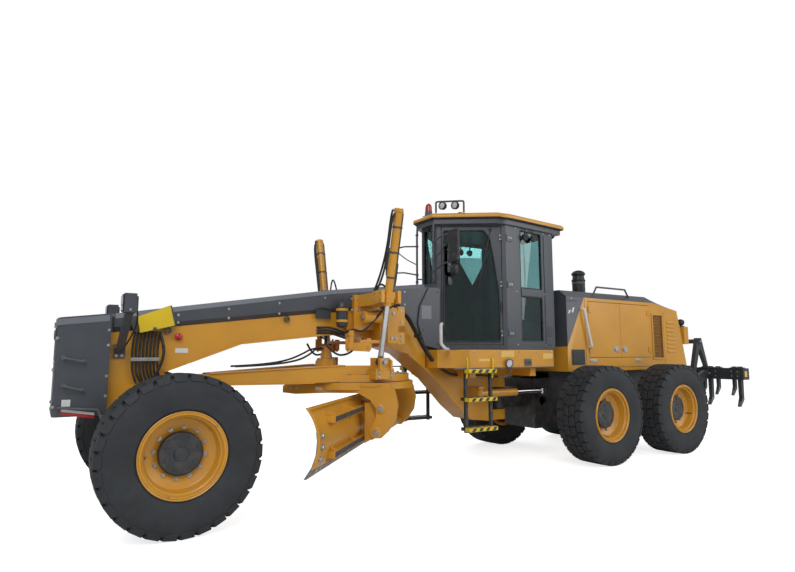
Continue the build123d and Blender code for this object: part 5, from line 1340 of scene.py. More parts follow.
class GRADER_OT_blade(bpy.types.Operator):
    """Blade: bolts, end bits, slide strips, ribs, side-shift and tilt cylinders"""

    bl_idname = "grader.blade"
    bl_label = "Blade"

    def execute(self, context):
        left, right = BLADE_SIDES
        forward = on_circle(1, 0, 0) - on_circle(0, 0, 0)
        sideways = on_circle(0, 1, 0) - on_circle(0, 0, 0)
        # plough bolts through the edge, with their nuts behind
        rows = [left - 0.10 - step * (left - right - 0.20) / 25 for step in range(26)]
        low_front, low_back = blade_front(0.435), blade_front(0.435) - 0.022
        for y in rows:
            disc(on_circle(low_front - 0.001, y, 0.437), forward + UP * 0.35, 0.013, 0.007, 14, 0.002)
        bolts([on_circle(low_back - 0.002, y, 0.443) for y in rows], -forward, 0.014)
        piece("edge_bolts", "blade", "zinc")
        # end bits
        for end, inward in ((left, -1), (right, 1)):
            heights = (0.40, 0.50, 0.60, 0.72, 0.80)
            outline = [(blade_front(z) + 0.006, z) for z in heights]
            outline += [(blade_front(z) - 0.004, z) for z in reversed(heights)]
            slab([on_circle(x, end, z) for x, z in outline], sideways * (inward * 0.150), 0.002, 1)
        piece("end_bits", "blade", "steel")
        for end, inward in ((left, -1), (right, 1)):
            bolts([on_circle(blade_front(z) - 0.024, end + inward * 0.07, z) for z in BIT_BOLT_HEIGHTS],
                  -forward, 0.023)
            for z in BIT_BOLT_HEIGHTS:
                disc(on_circle(blade_front(z) + 0.004, end + inward * 0.07, z), forward, 0.014, 0.006, 14,
                     0.002)
        piece("end_bit_bolts", "blade", "zinc")
        # steel wear strips on the two slides, then the ribs behind the blade
        back_x = blade_front(MIDDLE_Z) - 0.022 - 0.050
        for z in SLIDE_HEIGHTS:
            slab(across_blade(1.64, (back_x - 0.002, z - 0.026), (back_x - 0.002, z + 0.026),
                              (back_x + 0.032, z + 0.026), (back_x + 0.032, z - 0.026)), -sideways * 3.28,
                 0.003, 1)
        piece("slide_strips", "blade", "dark_steel", "wear_steel")
        for end in (1.60, 0.95, 0.25, -0.45, -1.15, -1.60):
            for z in reversed(SLIDE_HEIGHTS):
                outline = [(blade_front(z + shift) - 0.021, z + shift) for shift in (-0.075, 0.0, 0.075)]
                outline += [(back_x + 0.004, z + shift) for shift in (0.040, -0.040)]
                slab([on_circle(x, end + 0.010, height) for x, height in outline], -sideways * 0.020, 0.003,
                     1)
        # top edge fold
        slab(across_blade(left - 0.01, (blade_front(1.0) - 0.022, 0.985), (blade_front(1.0) - 0.022, 1.003),
                          (blade_front(1.0) - 0.058, 1.003), (blade_front(1.0) - 0.058, 0.990)),
             sideways * (right - left + 0.02), 0.003, 1)
        piece("blade_ribs", "blade", "ochre")
        # side-shift cylinder between the rails: barrel on the carrier, rod to the blade's end rib
        start, end = (on_circle(back_x - 0.030, y, SHIFT_HEIGHT) for y in (0.42, -0.95))
        axis = (end - start).normalized()
        lathe(start, axis,
              [(0.0, 0.0), (0.0, 0.038), (0.020, 0.042), (0.90, 0.042), (0.905, 0.047), (0.955, 0.047),
               (0.96, 0.0)], 32)
        slab([start + axis * 0.06 + forward * -0.050 + UP * z for z in (-0.06, 0.06)] +
             [start + axis * 0.06 + forward * 0.045 + UP * z for z in (0.06, -0.06)], axis * 0.040)
        piece("side_shift_barrel", "blade_carrier", "ochre")
        bar(on_circle(back_x - 0.030, -0.53, SHIFT_HEIGHT), on_circle(back_x - 0.030, -1.42, SHIFT_HEIGHT),
            0.022, 24, 0.002)
        piece("side_shift_rod", "blade", "chrome")
        slab([on_circle(back_x + 0.050, -1.40, z) for z in (0.66, 0.79)] +
             [on_circle(back_x - 0.062, -1.40, z) for z in (0.765, 0.68)], -sideways * 0.045, 0.005)
        piece("side_shift_eye", "blade", "ochre")
        # claw bolts on the carrier, tilt cylinder and its hoses
        for y in (0.40, -0.40):
            bolts([on_circle(back_x - 0.060, y + shift, z) for shift in (-0.04, 0.04)
                   for z in (0.91, 0.53)], -forward, 0.014)
        piece("claw_bolts", "blade_carrier", "zinc")
        lathe(on_circle(-0.415, 0.30, 0.735), on_circle(0.02, -0.05, 0.30) - on_circle(0, 0, 0),
              [(0.0, 0.0), (0.0, 0.030), (0.015, 0.036), (0.225, 0.036), (0.230, 0.042), (0.260, 0.042),
               (0.262, 0.0)], 28)
        piece("tilt_barrel", "blade_carrier", "slate")
        hose([on_circle(-0.43, 0.28, 0.90), on_circle(-0.50, 0.22, 0.97), on_circle(-0.50, 0.10, 0.90),
              on_circle(-0.44, 0.02, 0.80), on_circle(-0.34, 0.05, 0.745)], 0.011)
        hose([on_circle(-0.40, 0.34, 0.78), on_circle(-0.47, 0.40, 0.86), on_circle(-0.45, 0.47, 0.80),
              on_circle(-0.36, 0.42, 0.735)], 0.011)
        piece("tilt_hoses", "blade_carrier", "hose")
        return {"FINISHED"}


# ---------------------------------------------------------------- axle
class GRADER_OT_axle(bpy.types.Operator):
    """Front axle: bolts, steering cylinders with their hoses, king pin caps"""

    bl_idname = "grader.axle"
    bl_label = "Front axle"

    def execute(self, context):
        bolts([spot(-0.116, y, z) for y, z in ((0.06, 0.76), (-0.06, 0.76), (0.06, 0.64), (-0.06, 0.64))],
              (1, 0, 0), 0.013)
        for side in BOTH_SIDES:
            bolts([spot(d, side * y, 0.7805) for d in (-0.05, 0.05) for y in (0.36, 0.60)], UP, 0.013)
        piece("axle_bolts", "front", "zinc")
        for side in BOTH_SIDES:
            start, end = spot(0.110, side * 0.26, 0.700), spot(0.115, side * 0.66, 0.690)
            axis = (end - start).normalized()
            lathe(start, axis,
                  [(0.0, 0.0), (0.0, 0.034), (0.012, 0.038), (0.28, 0.038), (0.285, 0.043), (0.32, 0.043),
                   (0.322, 0.0)], 28)
            behind_box((0.080, 0.150), (0.235, 0.275), (0.655, 0.745), side, 0.006)
            bar(start + axis * 0.32, end, 0.018, 18)
            lathe(end + Vector((0, 0, -0.03)), UP, [(0.0, 0.0), (0.0, 0.030), (0.06, 0.030), (0.06, 0.0)],
                  20)
            behind_box((0.080, 0.140), (0.635, 0.69), (0.640, 0.658), side)
        piece("steering_cylinders", "front", "slate")
        for side in BOTH_SIDES:
            hose(on_side(side, (0.110, 0.30, 0.742), (0.150, 0.30, 0.80), (0.18, 0.235, 0.92),
                         (0.20, 0.215, 1.10)), 0.009)
            hose(on_side(side, (0.110, 0.55, 0.735), (0.155, 0.50, 0.80), (0.19, 0.30, 0.86),
                         (0.21, 0.225, 1.04)), 0.009)
        piece("steering_hoses", "front", "hose")
        for name, side in NAMED_SIDES:
            place = spot(0, side * 0.880, 0.8745)
            lathe(place, UP, [(0.0, 0.0), (0.0, 0.045), (0.012, 0.042), (0.016, 0.0)], 28)
            bolts(around(place, 0.052, (0.4, 2.0, 3.5, 5.1), -0.001), UP, 0.008)
            piece("king_pin_cap_" + name, "knuckle_" + name, "black")
        return {"FINISHED"}


# ---------------------------------------------------------------- cab
WALLS = {
    # wall: its two plan corners as (behind, y)
    "front": ((3.36, -0.175), (3.36, 0.175)), "door_left": ((3.36, 0.175), (4.12, 0.700)),
    "side_left": ((4.12, 0.700), (5.13, 0.600)), "rear": ((5.13, 0.600), (5.13, -0.600)),
    "side_right": ((5.13, -0.600), (4.12, -0.700)), "door_right": ((4.12, -0.700), (3.36, -0.175)),
}


def wall(name):
    """Gives a function from (along, height, out) on a cab wall to a point, and the wall's way out."""
    (first, first_y), (second, second_y) = WALLS[name]
    start = Vector((back(first), first_y, 0))
    run = (Vector((back(second), second_y, 0)) - start).normalized()
    out = Vector((run.y, -run.x, 0))
    if out.dot(Vector((back(4.3), 0, 0)) - start) > 0:
        out = -out

    def place(distance, z, proud=0.0):
        return start + run * distance + UP * z + out * proud
    return place, out


def from_front(place, side, length):
    """The same function with its distance counted from the wall's front end on both sides."""
    return lambda distance, z, proud=0.0: place(distance if side > 0 else length - distance, z, proud)


def gasket(place, outline, width, proud):
    """Rubber strip around a pane: a bent bar that follows its outline."""
    points = [place(distance, z, proud) for distance, z in outline]
    middle = (points[-1] + points[0]) / 2
    rail([middle] + points + [middle], width / 2)


PANES = [
    # wall, along from, along to, low, high
    ("front", 0.05, 0.30, 1.65, 3.16), ("side_left", 0.29, 0.745, 2.37, 3.16),
         ("side_left", 0.29, 0.745, 1.65, 2.25),
    ("side_right", 0.27, 0.725, 2.37, 3.16), ("side_right", 0.27, 0.725, 1.65, 2.25),
         ("rear", 0.12, 1.08, 2.37, 3.16),
]
DOOR_LENGTH, SIDE_LENGTH = 0.9237, 1.0149
HINGE_HEIGHTS = (1.745, 2.395, 3.025)
DOOR_PANE = [(0.09, 1.635), (0.8237, 1.635), (0.8237, 2.25), (0.7637, 2.70), (0.7137, 3.0), (0.6337, 3.125),
             (0.09, 3.125)]


class GRADER_OT_cab(bpy.types.Operator):
    """Cab outside: gaskets, hinges, wipers, handles, lamps, side plates and cowls"""

    bl_idname = "grader.cab"
    bl_label = "Cab"

    def execute(self, context):
        for name, first, second, low, high in PANES:
            place = wall(name)[0]
            gasket(place, [(first, low), (second, low), (second, high), (first, high)], 0.018, -0.006)
        piece("cab_gaskets", "front", "plastic")
        for side_name, side in NAMED_SIDES:
            place, out = wall("door_" + side_name)
            pane = DOOR_PANE if side > 0 else [(DOOR_LENGTH - distance, z) for distance, z in DOOR_PANE]
            gasket(place, pane, 0.020, -0.004)
            body = "cab_door_" + side_name
            piece("door_gasket_" + side_name, body, "plastic")
            lay = from_front(place, side, DOOR_LENGTH)
            # wiper: pivot, arm and blade
            disc(lay(0.72, 3.135, 0.0), out, 0.022, 0.022, 20)
            hose([lay(0.72, 3.135, 0.022), lay(0.70, 3.05, 0.026), lay(0.60, 2.62, 0.020)], 0.006)
            hose([lay(0.69, 2.98, 0.012), lay(0.60, 2.62, 0.012), lay(0.52, 2.22, 0.012)], 0.007, 2)
            # handle with its lock
            slab([lay(d, z, 0.0) for d, z in ((0.815, 2.02), (0.858, 2.02), (0.858, 2.16), (0.815, 2.16))],
                 out * 0.010, 0.003)
            rail([lay(0.836, 2.035, 0.005), lay(0.836, 2.035, 0.030), lay(0.836, 2.145, 0.030),
                  lay(0.836, 2.145, 0.005)], 0.007)
            rail([lay(0.09, 1.75, 0.0), lay(0.09, 1.75, 0.05), lay(0.09, 2.30, 0.05), lay(0.09, 2.30, 0.0)],
                 0.011)
            piece("door_wiper_and_handles_" + side_name, body, "plastic")
            for z in HINGE_HEIGHTS:
                bolts([lay(DOOR_LENGTH - 0.078, z + shift, 0.012) for shift in (-0.028, 0.028)], out, 0.008)
            piece("door_hinge_bolts_" + side_name, body, "zinc")
            # hinge plates and their bolts on the pillar
            wing, wing_out = wall("side_" + side_name)
            pillar = from_front(wing, side, SIDE_LENGTH)
            for z in HINGE_HEIGHTS:
                slab([pillar(d, z + shift)
                      for d, shift in ((0.006, -0.045), (0.115, -0.045), (0.115, 0.045), (0.006, 0.045))],
                     wing_out * 0.010, 0.003)
            piece("pillar_hinge_plates_" + side_name, "front", "slate")
            for z in HINGE_HEIGHTS:
                bolts([pillar(d, z, 0.010) for d in (0.045, 0.090)], wing_out, 0.011)
            for z in (1.60, 2.31, 3.18):
                bolts([pillar(d, z, 0.0) for d in (0.20, 0.80, 0.95)], wing_out, 0.008)
            piece("pillar_bolts_" + side_name, "front", "zinc")
            # divider between the side panes, rear corner plate and vent
            slab([pillar(d, z) for d, z in ((0.29, 2.262), (0.745, 2.262), (0.745, 2.358), (0.29, 2.358))],
                 wing_out * 0.012)
            slab([pillar(d, z) for d, z in ((0.80, 1.60), (0.985, 1.60), (0.985, 3.15), (0.80, 3.15))],
                 wing_out * 0.010)
            for step in range(5):
                slab([pillar(d, 1.72 + step * 0.030 + shift, 0.010)
                      for d, shift in ((0.83, 0), (0.95, 0), (0.95, 0.014), (0.83, 0.014))],
                     wing_out * 0.008, 0.002, 1)
            piece("cab_side_plates_" + side_name, "front", "slate")
            # two dark work lamps under the roof
            for distance in (0.36, 0.53):
                lathe(pillar(distance, 3.08, 0.012), wing_out - UP * 0.3,
                      [(0.0, 0.0), (0.0, 0.040), (0.030, 0.052), (0.040, 0.052), (0.044, 0.046),
                       (0.044, 0.0)], 28)
                bar(pillar(distance, 3.115, 0.03), pillar(distance, 3.200, 0.03), 0.009, 12)
            piece("side_work_lamps_" + side_name, "front", "plastic", "lamp_plastic")
        for side in BOTH_SIDES:
            rail(on_side(side, (3.235, 0.560, 1.535), (3.120, 0.650, 1.545), (3.060, 0.650, 1.600),
                         (3.060, 0.650, 1.830), (3.100, 0.620, 1.845)), 0.020)
        piece("wrapped_grab_handles", "front", "wrap")
        # front wiper and rear wiper
        for name, distance, top in (("front", 0.175, 3.17), ("rear", 0.60, 3.18)):
            place, out = wall(name)
            disc(place(distance, top, 0.0), out, 0.020, 0.020, 20)
            hose([place(distance, top, 0.020), place(distance - 0.02, top - 0.30, 0.024),
                  place(distance - 0.03, top - 0.55, 0.018)], 0.006)
            hose([place(distance - 0.02, top - 0.28, 0.012), place(distance - 0.03, top - 0.85, 0.012)],
                 0.007, 2)
        piece("cab_wipers", "front", "plastic")
        # slate side cowls below the windscreen, with their bolts
        for side in BOTH_SIDES:
            outline = [(2.99, 1.86), (3.10, 1.58), (3.33, 1.535), (3.345, 2.33), (3.16, 2.33), (3.02, 2.08)]
            side_slab(outline, flank(side, 0.2415, 0.262), 0.006)
            bolts(in_plane(side * 0.262, (3.07, 1.78), (3.10, 2.20), (3.30, 1.60), (3.30, 2.28)),
                  (0, side, 0), 0.009)
        piece("cab_cowls", "front", "slate")
        for side in BOTH_SIDES:
            behind_box((3.045, 3.200), (0.2625, 0.2645), (1.925, 2.095), side, 0.0006)
        piece("cowl_labels", "front", "band")
        return {"FINISHED"}


CAB_FLOOR = 1.58


class GRADER_OT_interior(bpy.types.Operator):
    """Seat, consoles, steering wheel, levers and pedals"""

    bl_idname = "grader.interior"
    bl_label = "Cab inside"

    def execute(self, context):
        # padded seat: crowned cushions with sides that pull in
        for name, x, y, z, puff in (("seat_cushion", (4.11, 4.60), 0.25, (1.925, 2.035), 0.05),
                                    ("seat_back", (4.63, 4.755), 0.24, (2.05, 2.66), 0.05),
                                    ("head_rest", (4.655, 4.745), 0.13, (2.70, 2.86), 0.03)):
            idle()
            low, high = spot(x[1], -y, z[0]), spot(x[0], y, z[1])
            middle, size = (low + high) / 2, high - low
            bpy.ops.mesh.primitive_cube_add(size=1, location=middle, scale=size)
            bpy.ops.object.transform_apply(location=True, rotation=True, scale=True)
            cushion = context.object
            editing(cushion)
            bpy.ops.mesh.bevel(offset=min(size) * 0.32, segments=2, affect="EDGES")
            bpy.ops.mesh.select_all(action="SELECT")
            bpy.ops.mesh.subdivide(number_cuts=2)
            bpy.ops.object.mode_set(mode="OBJECT")
            for vertex in cushion.data.vertices:
                share = [(vertex.co[axis] - middle[axis]) / (size[axis] / 2) for axis in range(3)]
                thin = 2 if size.z == min(size) else 0
                others = [axis for axis in range(3) if axis != thin]
                crown = (1 - share[others[0]] ** 2) * (1 - share[others[1]] ** 2)
                seam = 0.012 * max(0, 1 - abs(abs(share[1]) - 0.52) * 14)
                vertex.co[thin] += share[thin] * (crown * puff * 0.5 - seam - puff * 0.22)
            smooth = cushion.modifiers.new("round", "SUBSURF")
            smooth.levels = smooth.render_levels = 1
            bpy.ops.object.modifier_apply(modifier=smooth.name)
            keep(cushion)
            whole = piece(name, "front", "seat", replaces=(), smooth=180)
        # seat base, arm rests, side consoles, column, dash
        behind_box((4.18, 4.54), (-0.20, 0.20), (CAB_FLOOR, 1.70), 1, 0.012)
        behind_box((4.24, 4.50), (-0.15, 0.15), (1.70, 1.90), 1, 0.02)
        behind_box((4.12, 4.62), (-0.24, 0.24), (1.890, 1.925), 1, 0.012)
        behind_box((4.745, 4.765), (-0.22, 0.22), (1.98, 2.62), 1, 0.008)
        for side in BOTH_SIDES:
            bar(spot(4.705, side * 0.06, 2.60), spot(4.705, side * 0.06, 2.73), 0.007, 12)
            behind_box((4.15, 4.52), (0.275, 0.345), (2.13, 2.18), side, 0.018)
            bar(spot(4.62, side * 0.29, 1.95), spot(4.45, side * 0.30, 2.14), 0.015, 14)
            behind_box((4.30, 4.95), (0.37, 0.52), (CAB_FLOOR, 1.93), side, 0.02)
            for step in range(4):
                place = spot(4.18 + 0.075 * step, side * 0.31, 2.18)
                hose([place, place + Vector((0.01, 0, 0.06)), place + Vector((0.02, 0, 0.11))], 0.006)
                lathe(place + Vector((0.02, 0, 0.10)), UP,
                      [(0.0, 0.0), (0.0, 0.012), (0.02, 0.018), (0.035, 0.014), (0.04, 0.0)], 16)
        behind_box((3.53, 3.71), (-0.10, 0.10), (CAB_FLOOR, 1.98), 1, 0.02)
        bar(spot(3.62, 0, 1.96), spot(3.715, 0, 2.28), 0.040, 18)
        slab(spots((3.50, -0.17, 2.02), (3.50, 0.17, 2.02), (3.66, 0.13, 2.14), (3.66, -0.13, 2.14)),
             (0.03, 0, 0.07), 0.015)
        for side in BOTH_SIDES:
            slab(on_side(side, (3.56, 0.11, 1.62), (3.56, 0.19, 1.62), (3.66, 0.19, 1.585),
                         (3.66, 0.11, 1.585)), (0, 0, 0.010), 0.003)
        piece("cab_furniture", "front", "plastic", replaces=("cab_interior",))
        centre, tilt = spot(3.722, 0, 2.30), Vector((-0.28, 0, 1)).normalized()
        idle()
        bpy.ops.mesh.primitive_torus_add(major_radius=0.185, minor_radius=0.013, major_segments=48,
                                         minor_segments=12, location=centre,
                                         rotation=UP.rotation_difference(tilt).to_euler())
        keep(context.object)
        for corner in ring(centre, tilt, 0.178, 3):
            hose([centre - tilt * 0.018, (corner + centre) / 2 - tilt * 0.008, corner], 0.009)
        lathe(centre - tilt * 0.03, tilt,
              [(0.0, 0.0), (0.0, 0.045), (0.025, 0.050), (0.035, 0.040), (0.038, 0.0)], 28)
        piece("steering_wheel", "front", "grey_plastic", "black_paint")
        return {"FINISHED"}


class GRADER_OT_roof(bpy.types.Operator):
    """Roof: rail with its lamps, beacon, mirrors, rear lamps, drip rail, hatch"""

    bl_idname = "grader.roof"
    bl_label = "Roof fittings"

    def execute(self, context):
        first, second = spot(3.290, 0.260, 0), spot(3.570, 0.500, 0)
        top = 3.494
        rail([first + UP * 3.343, first + UP * top, second + UP * top, second + UP * 3.343], 0.013)
        for side in BOTH_SIDES:
            post = spot(3.290, side * 0.190, 0)
            rail([post + UP * 2.425, post + UP * 3.08, post + UP * 3.27 + Vector((-0.01, 0, 0)),
                  spot(3.335, side * 0.200, 3.285)], 0.0145)
            for low, high in ((2.960, 2.990), (2.560, 2.640)):
                rail([post + UP * low, spot(3.245, side * 0.45, (low + high) / 2 + 0.02),
                      spot(3.215, side * 0.690, high)], 0.011)
            hose([post + UP * 2.70, spot(3.26, side * 0.40, 2.80), spot(3.225, side * 0.66, 2.97)], 0.008,
                 2)
            for z in (2.46, 2.56, 2.96, 3.12):
                disc(post + UP * (z - 0.012), UP, 0.022, 0.024, 16, 0.003)
            bar(post + UP * 2.50 + Vector((-0.005, 0, 0)), spot(3.375, side * 0.165, 2.50), 0.010)
        piece("roof_rail_and_mirror_arms", "front", "slate", replaces=("cab_fittings",))
        for side in BOTH_SIDES:
            outline = [(0.652, 2.62), (0.675, 2.602), (0.825, 2.602), (0.848, 2.62), (0.848, 2.99),
                       (0.830, 3.018), (0.670, 3.018), (0.652, 2.99)]
            slab([spot(3.172, side * y, z) for y, z in outline], (-0.050, 0, 0), 0.014, 3)
            lathe(spot(3.200, side * 0.745, 2.515), (-1, 0, 0),
                  [(-0.030, 0.0), (-0.026, 0.050), (0.000, 0.078), (0.012, 0.080), (0.015, 0.072),
                   (0.015, 0.0)], 32)
            hose(on_side(side, (3.215, 0.690, 2.61), (3.21, 0.715, 2.56), (3.20, 0.745, 2.52)), 0.009)
        piece("mirror_housings", "front", "plastic")
        for side in BOTH_SIDES:
            outline = [(0.668, 2.635), (0.832, 2.635), (0.832, 2.985), (0.668, 2.985)]
            slab([spot(3.2225, side * y, z) for y, z in outline], (-0.004, 0, 0), 0.002, 1)
            disc(spot(3.2155, side * 0.745, 2.515), (-1, 0, 0), 0.066, 0.004, 32, 0.001)
        piece("mirror_glasses", "front", "mirror")
        front_lamps = [first.lerp(second, share) + UP * 3.435 for share in (0.25, 0.7)]
        rear_lamps = [spot(5.245, side * y, 3.225) for side in BOTH_SIDES for y in (0.30, 0.48)]
        front_way = Vector((0.62, 0.78, 0)).normalized() * 0.35 + Vector((1, 0, 0)) * 0.65
        rear_way = Vector((-1, 0, -0.25))
        for lamp in front_lamps:
            lathe(lamp, front_way,
                  [(-0.055, 0.0), (-0.050, 0.030), (-0.020, 0.050), (0.022, 0.056), (0.028, 0.053),
                   (0.028, 0.046), (0.016, 0.044), (0.016, 0.0)], 36)
            bar(lamp + UP * 0.045, lamp + UP * 0.062, 0.010)
        for lamp in rear_lamps:
            lathe(lamp, rear_way,
                  [(-0.045, 0.0), (-0.040, 0.035), (0.0, 0.050), (0.030, 0.052), (0.034, 0.046),
                   (0.024, 0.044), (0.024, 0.0)], 32)
            bar(lamp + UP * 0.04, lamp + UP * 0.075, 0.010)
        piece("work_lamp_housings", "front", "plastic", "lamp_plastic")
        for lamp in front_lamps:
            lathe(lamp, front_way,
                  [(0.014, 0.0), (0.014, 0.045), (0.023, 0.040), (0.028, 0.022), (0.030, 0.0)], 36)
        for lamp in rear_lamps:
            lathe(lamp, rear_way, [(0.022, 0.0), (0.022, 0.044), (0.030, 0.038), (0.034, 0.0)], 32)
        piece("work_lamp_lenses", "front", "clear")
        beacon = spot(3.400, -0.060, 3.344)
        box((beacon.x - 0.065, beacon.x + 0.065), (beacon.y - 0.065, beacon.y + 0.065), (3.344, 3.385),
            0.010)
        lathe(beacon + UP * 0.040, UP,
              [(0.0, 0.0), (0.0, 0.052), (0.050, 0.052), (0.056, 0.046), (0.056, 0.0)], 36)
        piece("beacon_foot", "front", "grey_plastic")
        lathe(beacon + UP * 0.095, UP,
              [(0.0, 0.0), (0.0, 0.050), (0.070, 0.046), (0.100, 0.036), (0.116, 0.018), (0.1205, 0.0)], 40)
        piece("beacon_dome", "front", "ruby")
        # drip rail and seam under the roof plate, hatch on top
        outline = [(3.262, 0.222), (3.955, 0.737), (4.160, 0.760), (5.310, 0.650)]
        for side in BOTH_SIDES:
            hose([spot(d, side * y, 3.279) for d, y in outline], 0.008, 2)
        hose([spot(3.262, -0.222, 3.279), spot(3.262, 0.222, 3.279)], 0.008, 2)
        hose([spot(5.310, -0.65, 3.279), spot(5.310, 0.65, 3.279)], 0.008, 2)
        piece("roof_drip_rail", "front", "plastic")
        behind_box((4.20, 4.90), (-0.32, 0.32), (3.3445, 3.366), 1, 0.010)
        for d, y in ((4.24, -0.28), (4.24, 0.28), (4.86, -0.28), (4.86, 0.28)):
            bolts([spot(d, y, 3.366)], UP, 0.010)
        for side in BOTH_SIDES:
            behind_box((3.55, 5.10), (0.40, 0.44), (3.3445, 3.358), side, 0.005)
        piece("roof_hatch", "front", "ochre")
        return {"FINISHED"}


DECK_SIDE = 0.720
STEP_HEIGHTS = (0.540, 0.900, 1.245)


class GRADER_OT_deck(bpy.types.Operator):
    """Side deck and ladders: striped treads, grab bars, lamps, sockets, bare labels"""

    bl_idname = "grader.deck"
    bl_label = "Deck and ladders"

    def execute(self, context):
        for side in BOTH_SIDES:
            for z in STEP_HEIGHTS:
                behind_box((3.382, 3.838), (0.690, 0.782), (z - 0.004, z + 0.0435), side)
                if z > 1.2:
                    for step in range(9):
                        behind_box((3.40 + step * 0.048, 3.42 + step * 0.048), (0.700, 0.776),
                                   (z + 0.043, z + 0.048), side, 0.0015)
            for distance in (3.395, 3.810):
                rail(on_side(side, (distance, 0.720, 1.180), (distance, 0.742, 1.300),
                             (distance, 0.742, 1.400), (distance, 0.722, 1.430)), 0.011)
        piece("ladder_treads", "front", "lemon")
        for side in BOTH_SIDES:
            for z in STEP_HEIGHTS:
                for step in range(4):
                    start = 3.415 + step * 0.110
                    slab(in_plane(side * 0.7825, (start, z), (start + 0.052, z), (start + 0.082, z + 0.040),
                                  (start + 0.030, z + 0.040)), (0, side * 0.0012, 0), 0.0004, 1)
                    if z < 1.2:
                        for y in (0.62, 0.66, 0.70, 0.74):
                            behind_box((start, start + 0.062), (y, y + 0.022), (z + 0.0405, z + 0.045),
                                       side, 0.001)
            for distance in (3.390, 3.790):
                for z in (0.62, 0.86, 1.02, 1.20):
                    disc(spot(distance + 0.020, side * 0.7005, z), (0, side, 0), 0.010, 0.006, 6, 0.001)
        piece("ladder_stripes", "front", "black")
        for side in BOTH_SIDES:
            behind_box((3.975, 4.200), (0.7205, 0.7225), (1.435, 1.515), side, 0.0006)
            behind_box((4.740, 4.925), (0.7205, 0.7225), (1.410, 1.485), side, 0.0006)
            behind_box((3.60, 3.78), (0.7205, 0.7220), (1.385, 1.415), side, 0.0006)
        piece("deck_labels", "front", "orange")
        for side in BOTH_SIDES:
            lamp = spot(4.085, side * 0.721, 1.360)
            lathe(lamp, (0, side, -0.15),
                  [(0.0, 0.0), (0.0, 0.040), (0.020, 0.060), (0.036, 0.062), (0.042, 0.056), (0.030, 0.052),
                   (0.030, 0.0)], 36)
            behind_box((4.385, 4.505), (0.7205, 0.735), (1.320, 1.412), side, 0.006)
            for d in (4.415, 4.475):
                lathe(spot(d, side * 0.735, 1.366), (0, side, 0),
                      [(0.0, 0.0), (0.0, 0.022), (0.010, 0.022), (0.012, 0.018), (0.004, 0.015),
                       (0.004, 0.0)], 24)
            hose(on_side(side, (4.11, 0.73, 1.31), (4.14, 0.72, 1.24), (4.10, 0.68, 1.18),
                         (4.02, 0.62, 1.17)), 0.012)
            behind_box((3.20, 4.92), (0.700, 0.724), (1.290, 1.306), side)
        piece("deck_lamps_and_sockets", "front", "grey_plastic", "lamp_plastic")
        for side in BOTH_SIDES:
            lathe(spot(4.085, side * 0.721, 1.360), (0, side, -0.15),
                  [(0.028, 0.0), (0.028, 0.053), (0.036, 0.046), (0.040, 0.0)], 36)
        piece("deck_lenses", "front", "clear")
        for side in BOTH_SIDES:
            bolts([spot(d, side * DECK_SIDE, 1.505) for d in (3.52, 3.92, 4.30, 4.62, 4.90)], (0, side, 0),
                  0.010)
            bolts([spot(d, side * DECK_SIDE, 1.325) for d in (3.92, 4.30, 4.62, 4.90)], (0, side, 0), 0.010)
        piece("deck_bolts", "front", "zinc")
        # anti-slip strips on the deck beside the cab
        for side in BOTH_SIDES:
            for step in range(11):
                start = 3.30 + step * 0.024
                behind_box((start, start + 0.010), (0.440 + 0.012 * step, 0.600 + 0.008 * step),
                           (1.5295, 1.534), side, 0.001)
        piece("deck_grip", "front", "black")
        return {"FINISHED"}


# ---------------------------------------------------------------- hood and rear
HOOD_SIDE = 0.630
TAIL_LAMP_HEIGHTS = {"ruby": 1.715, "amber": 1.865}


def hood_place(distance, z, side, proud=0.0):
    """Point on the hood's side wall."""
    return spot(distance, side * (HOOD_SIDE + proud), z)


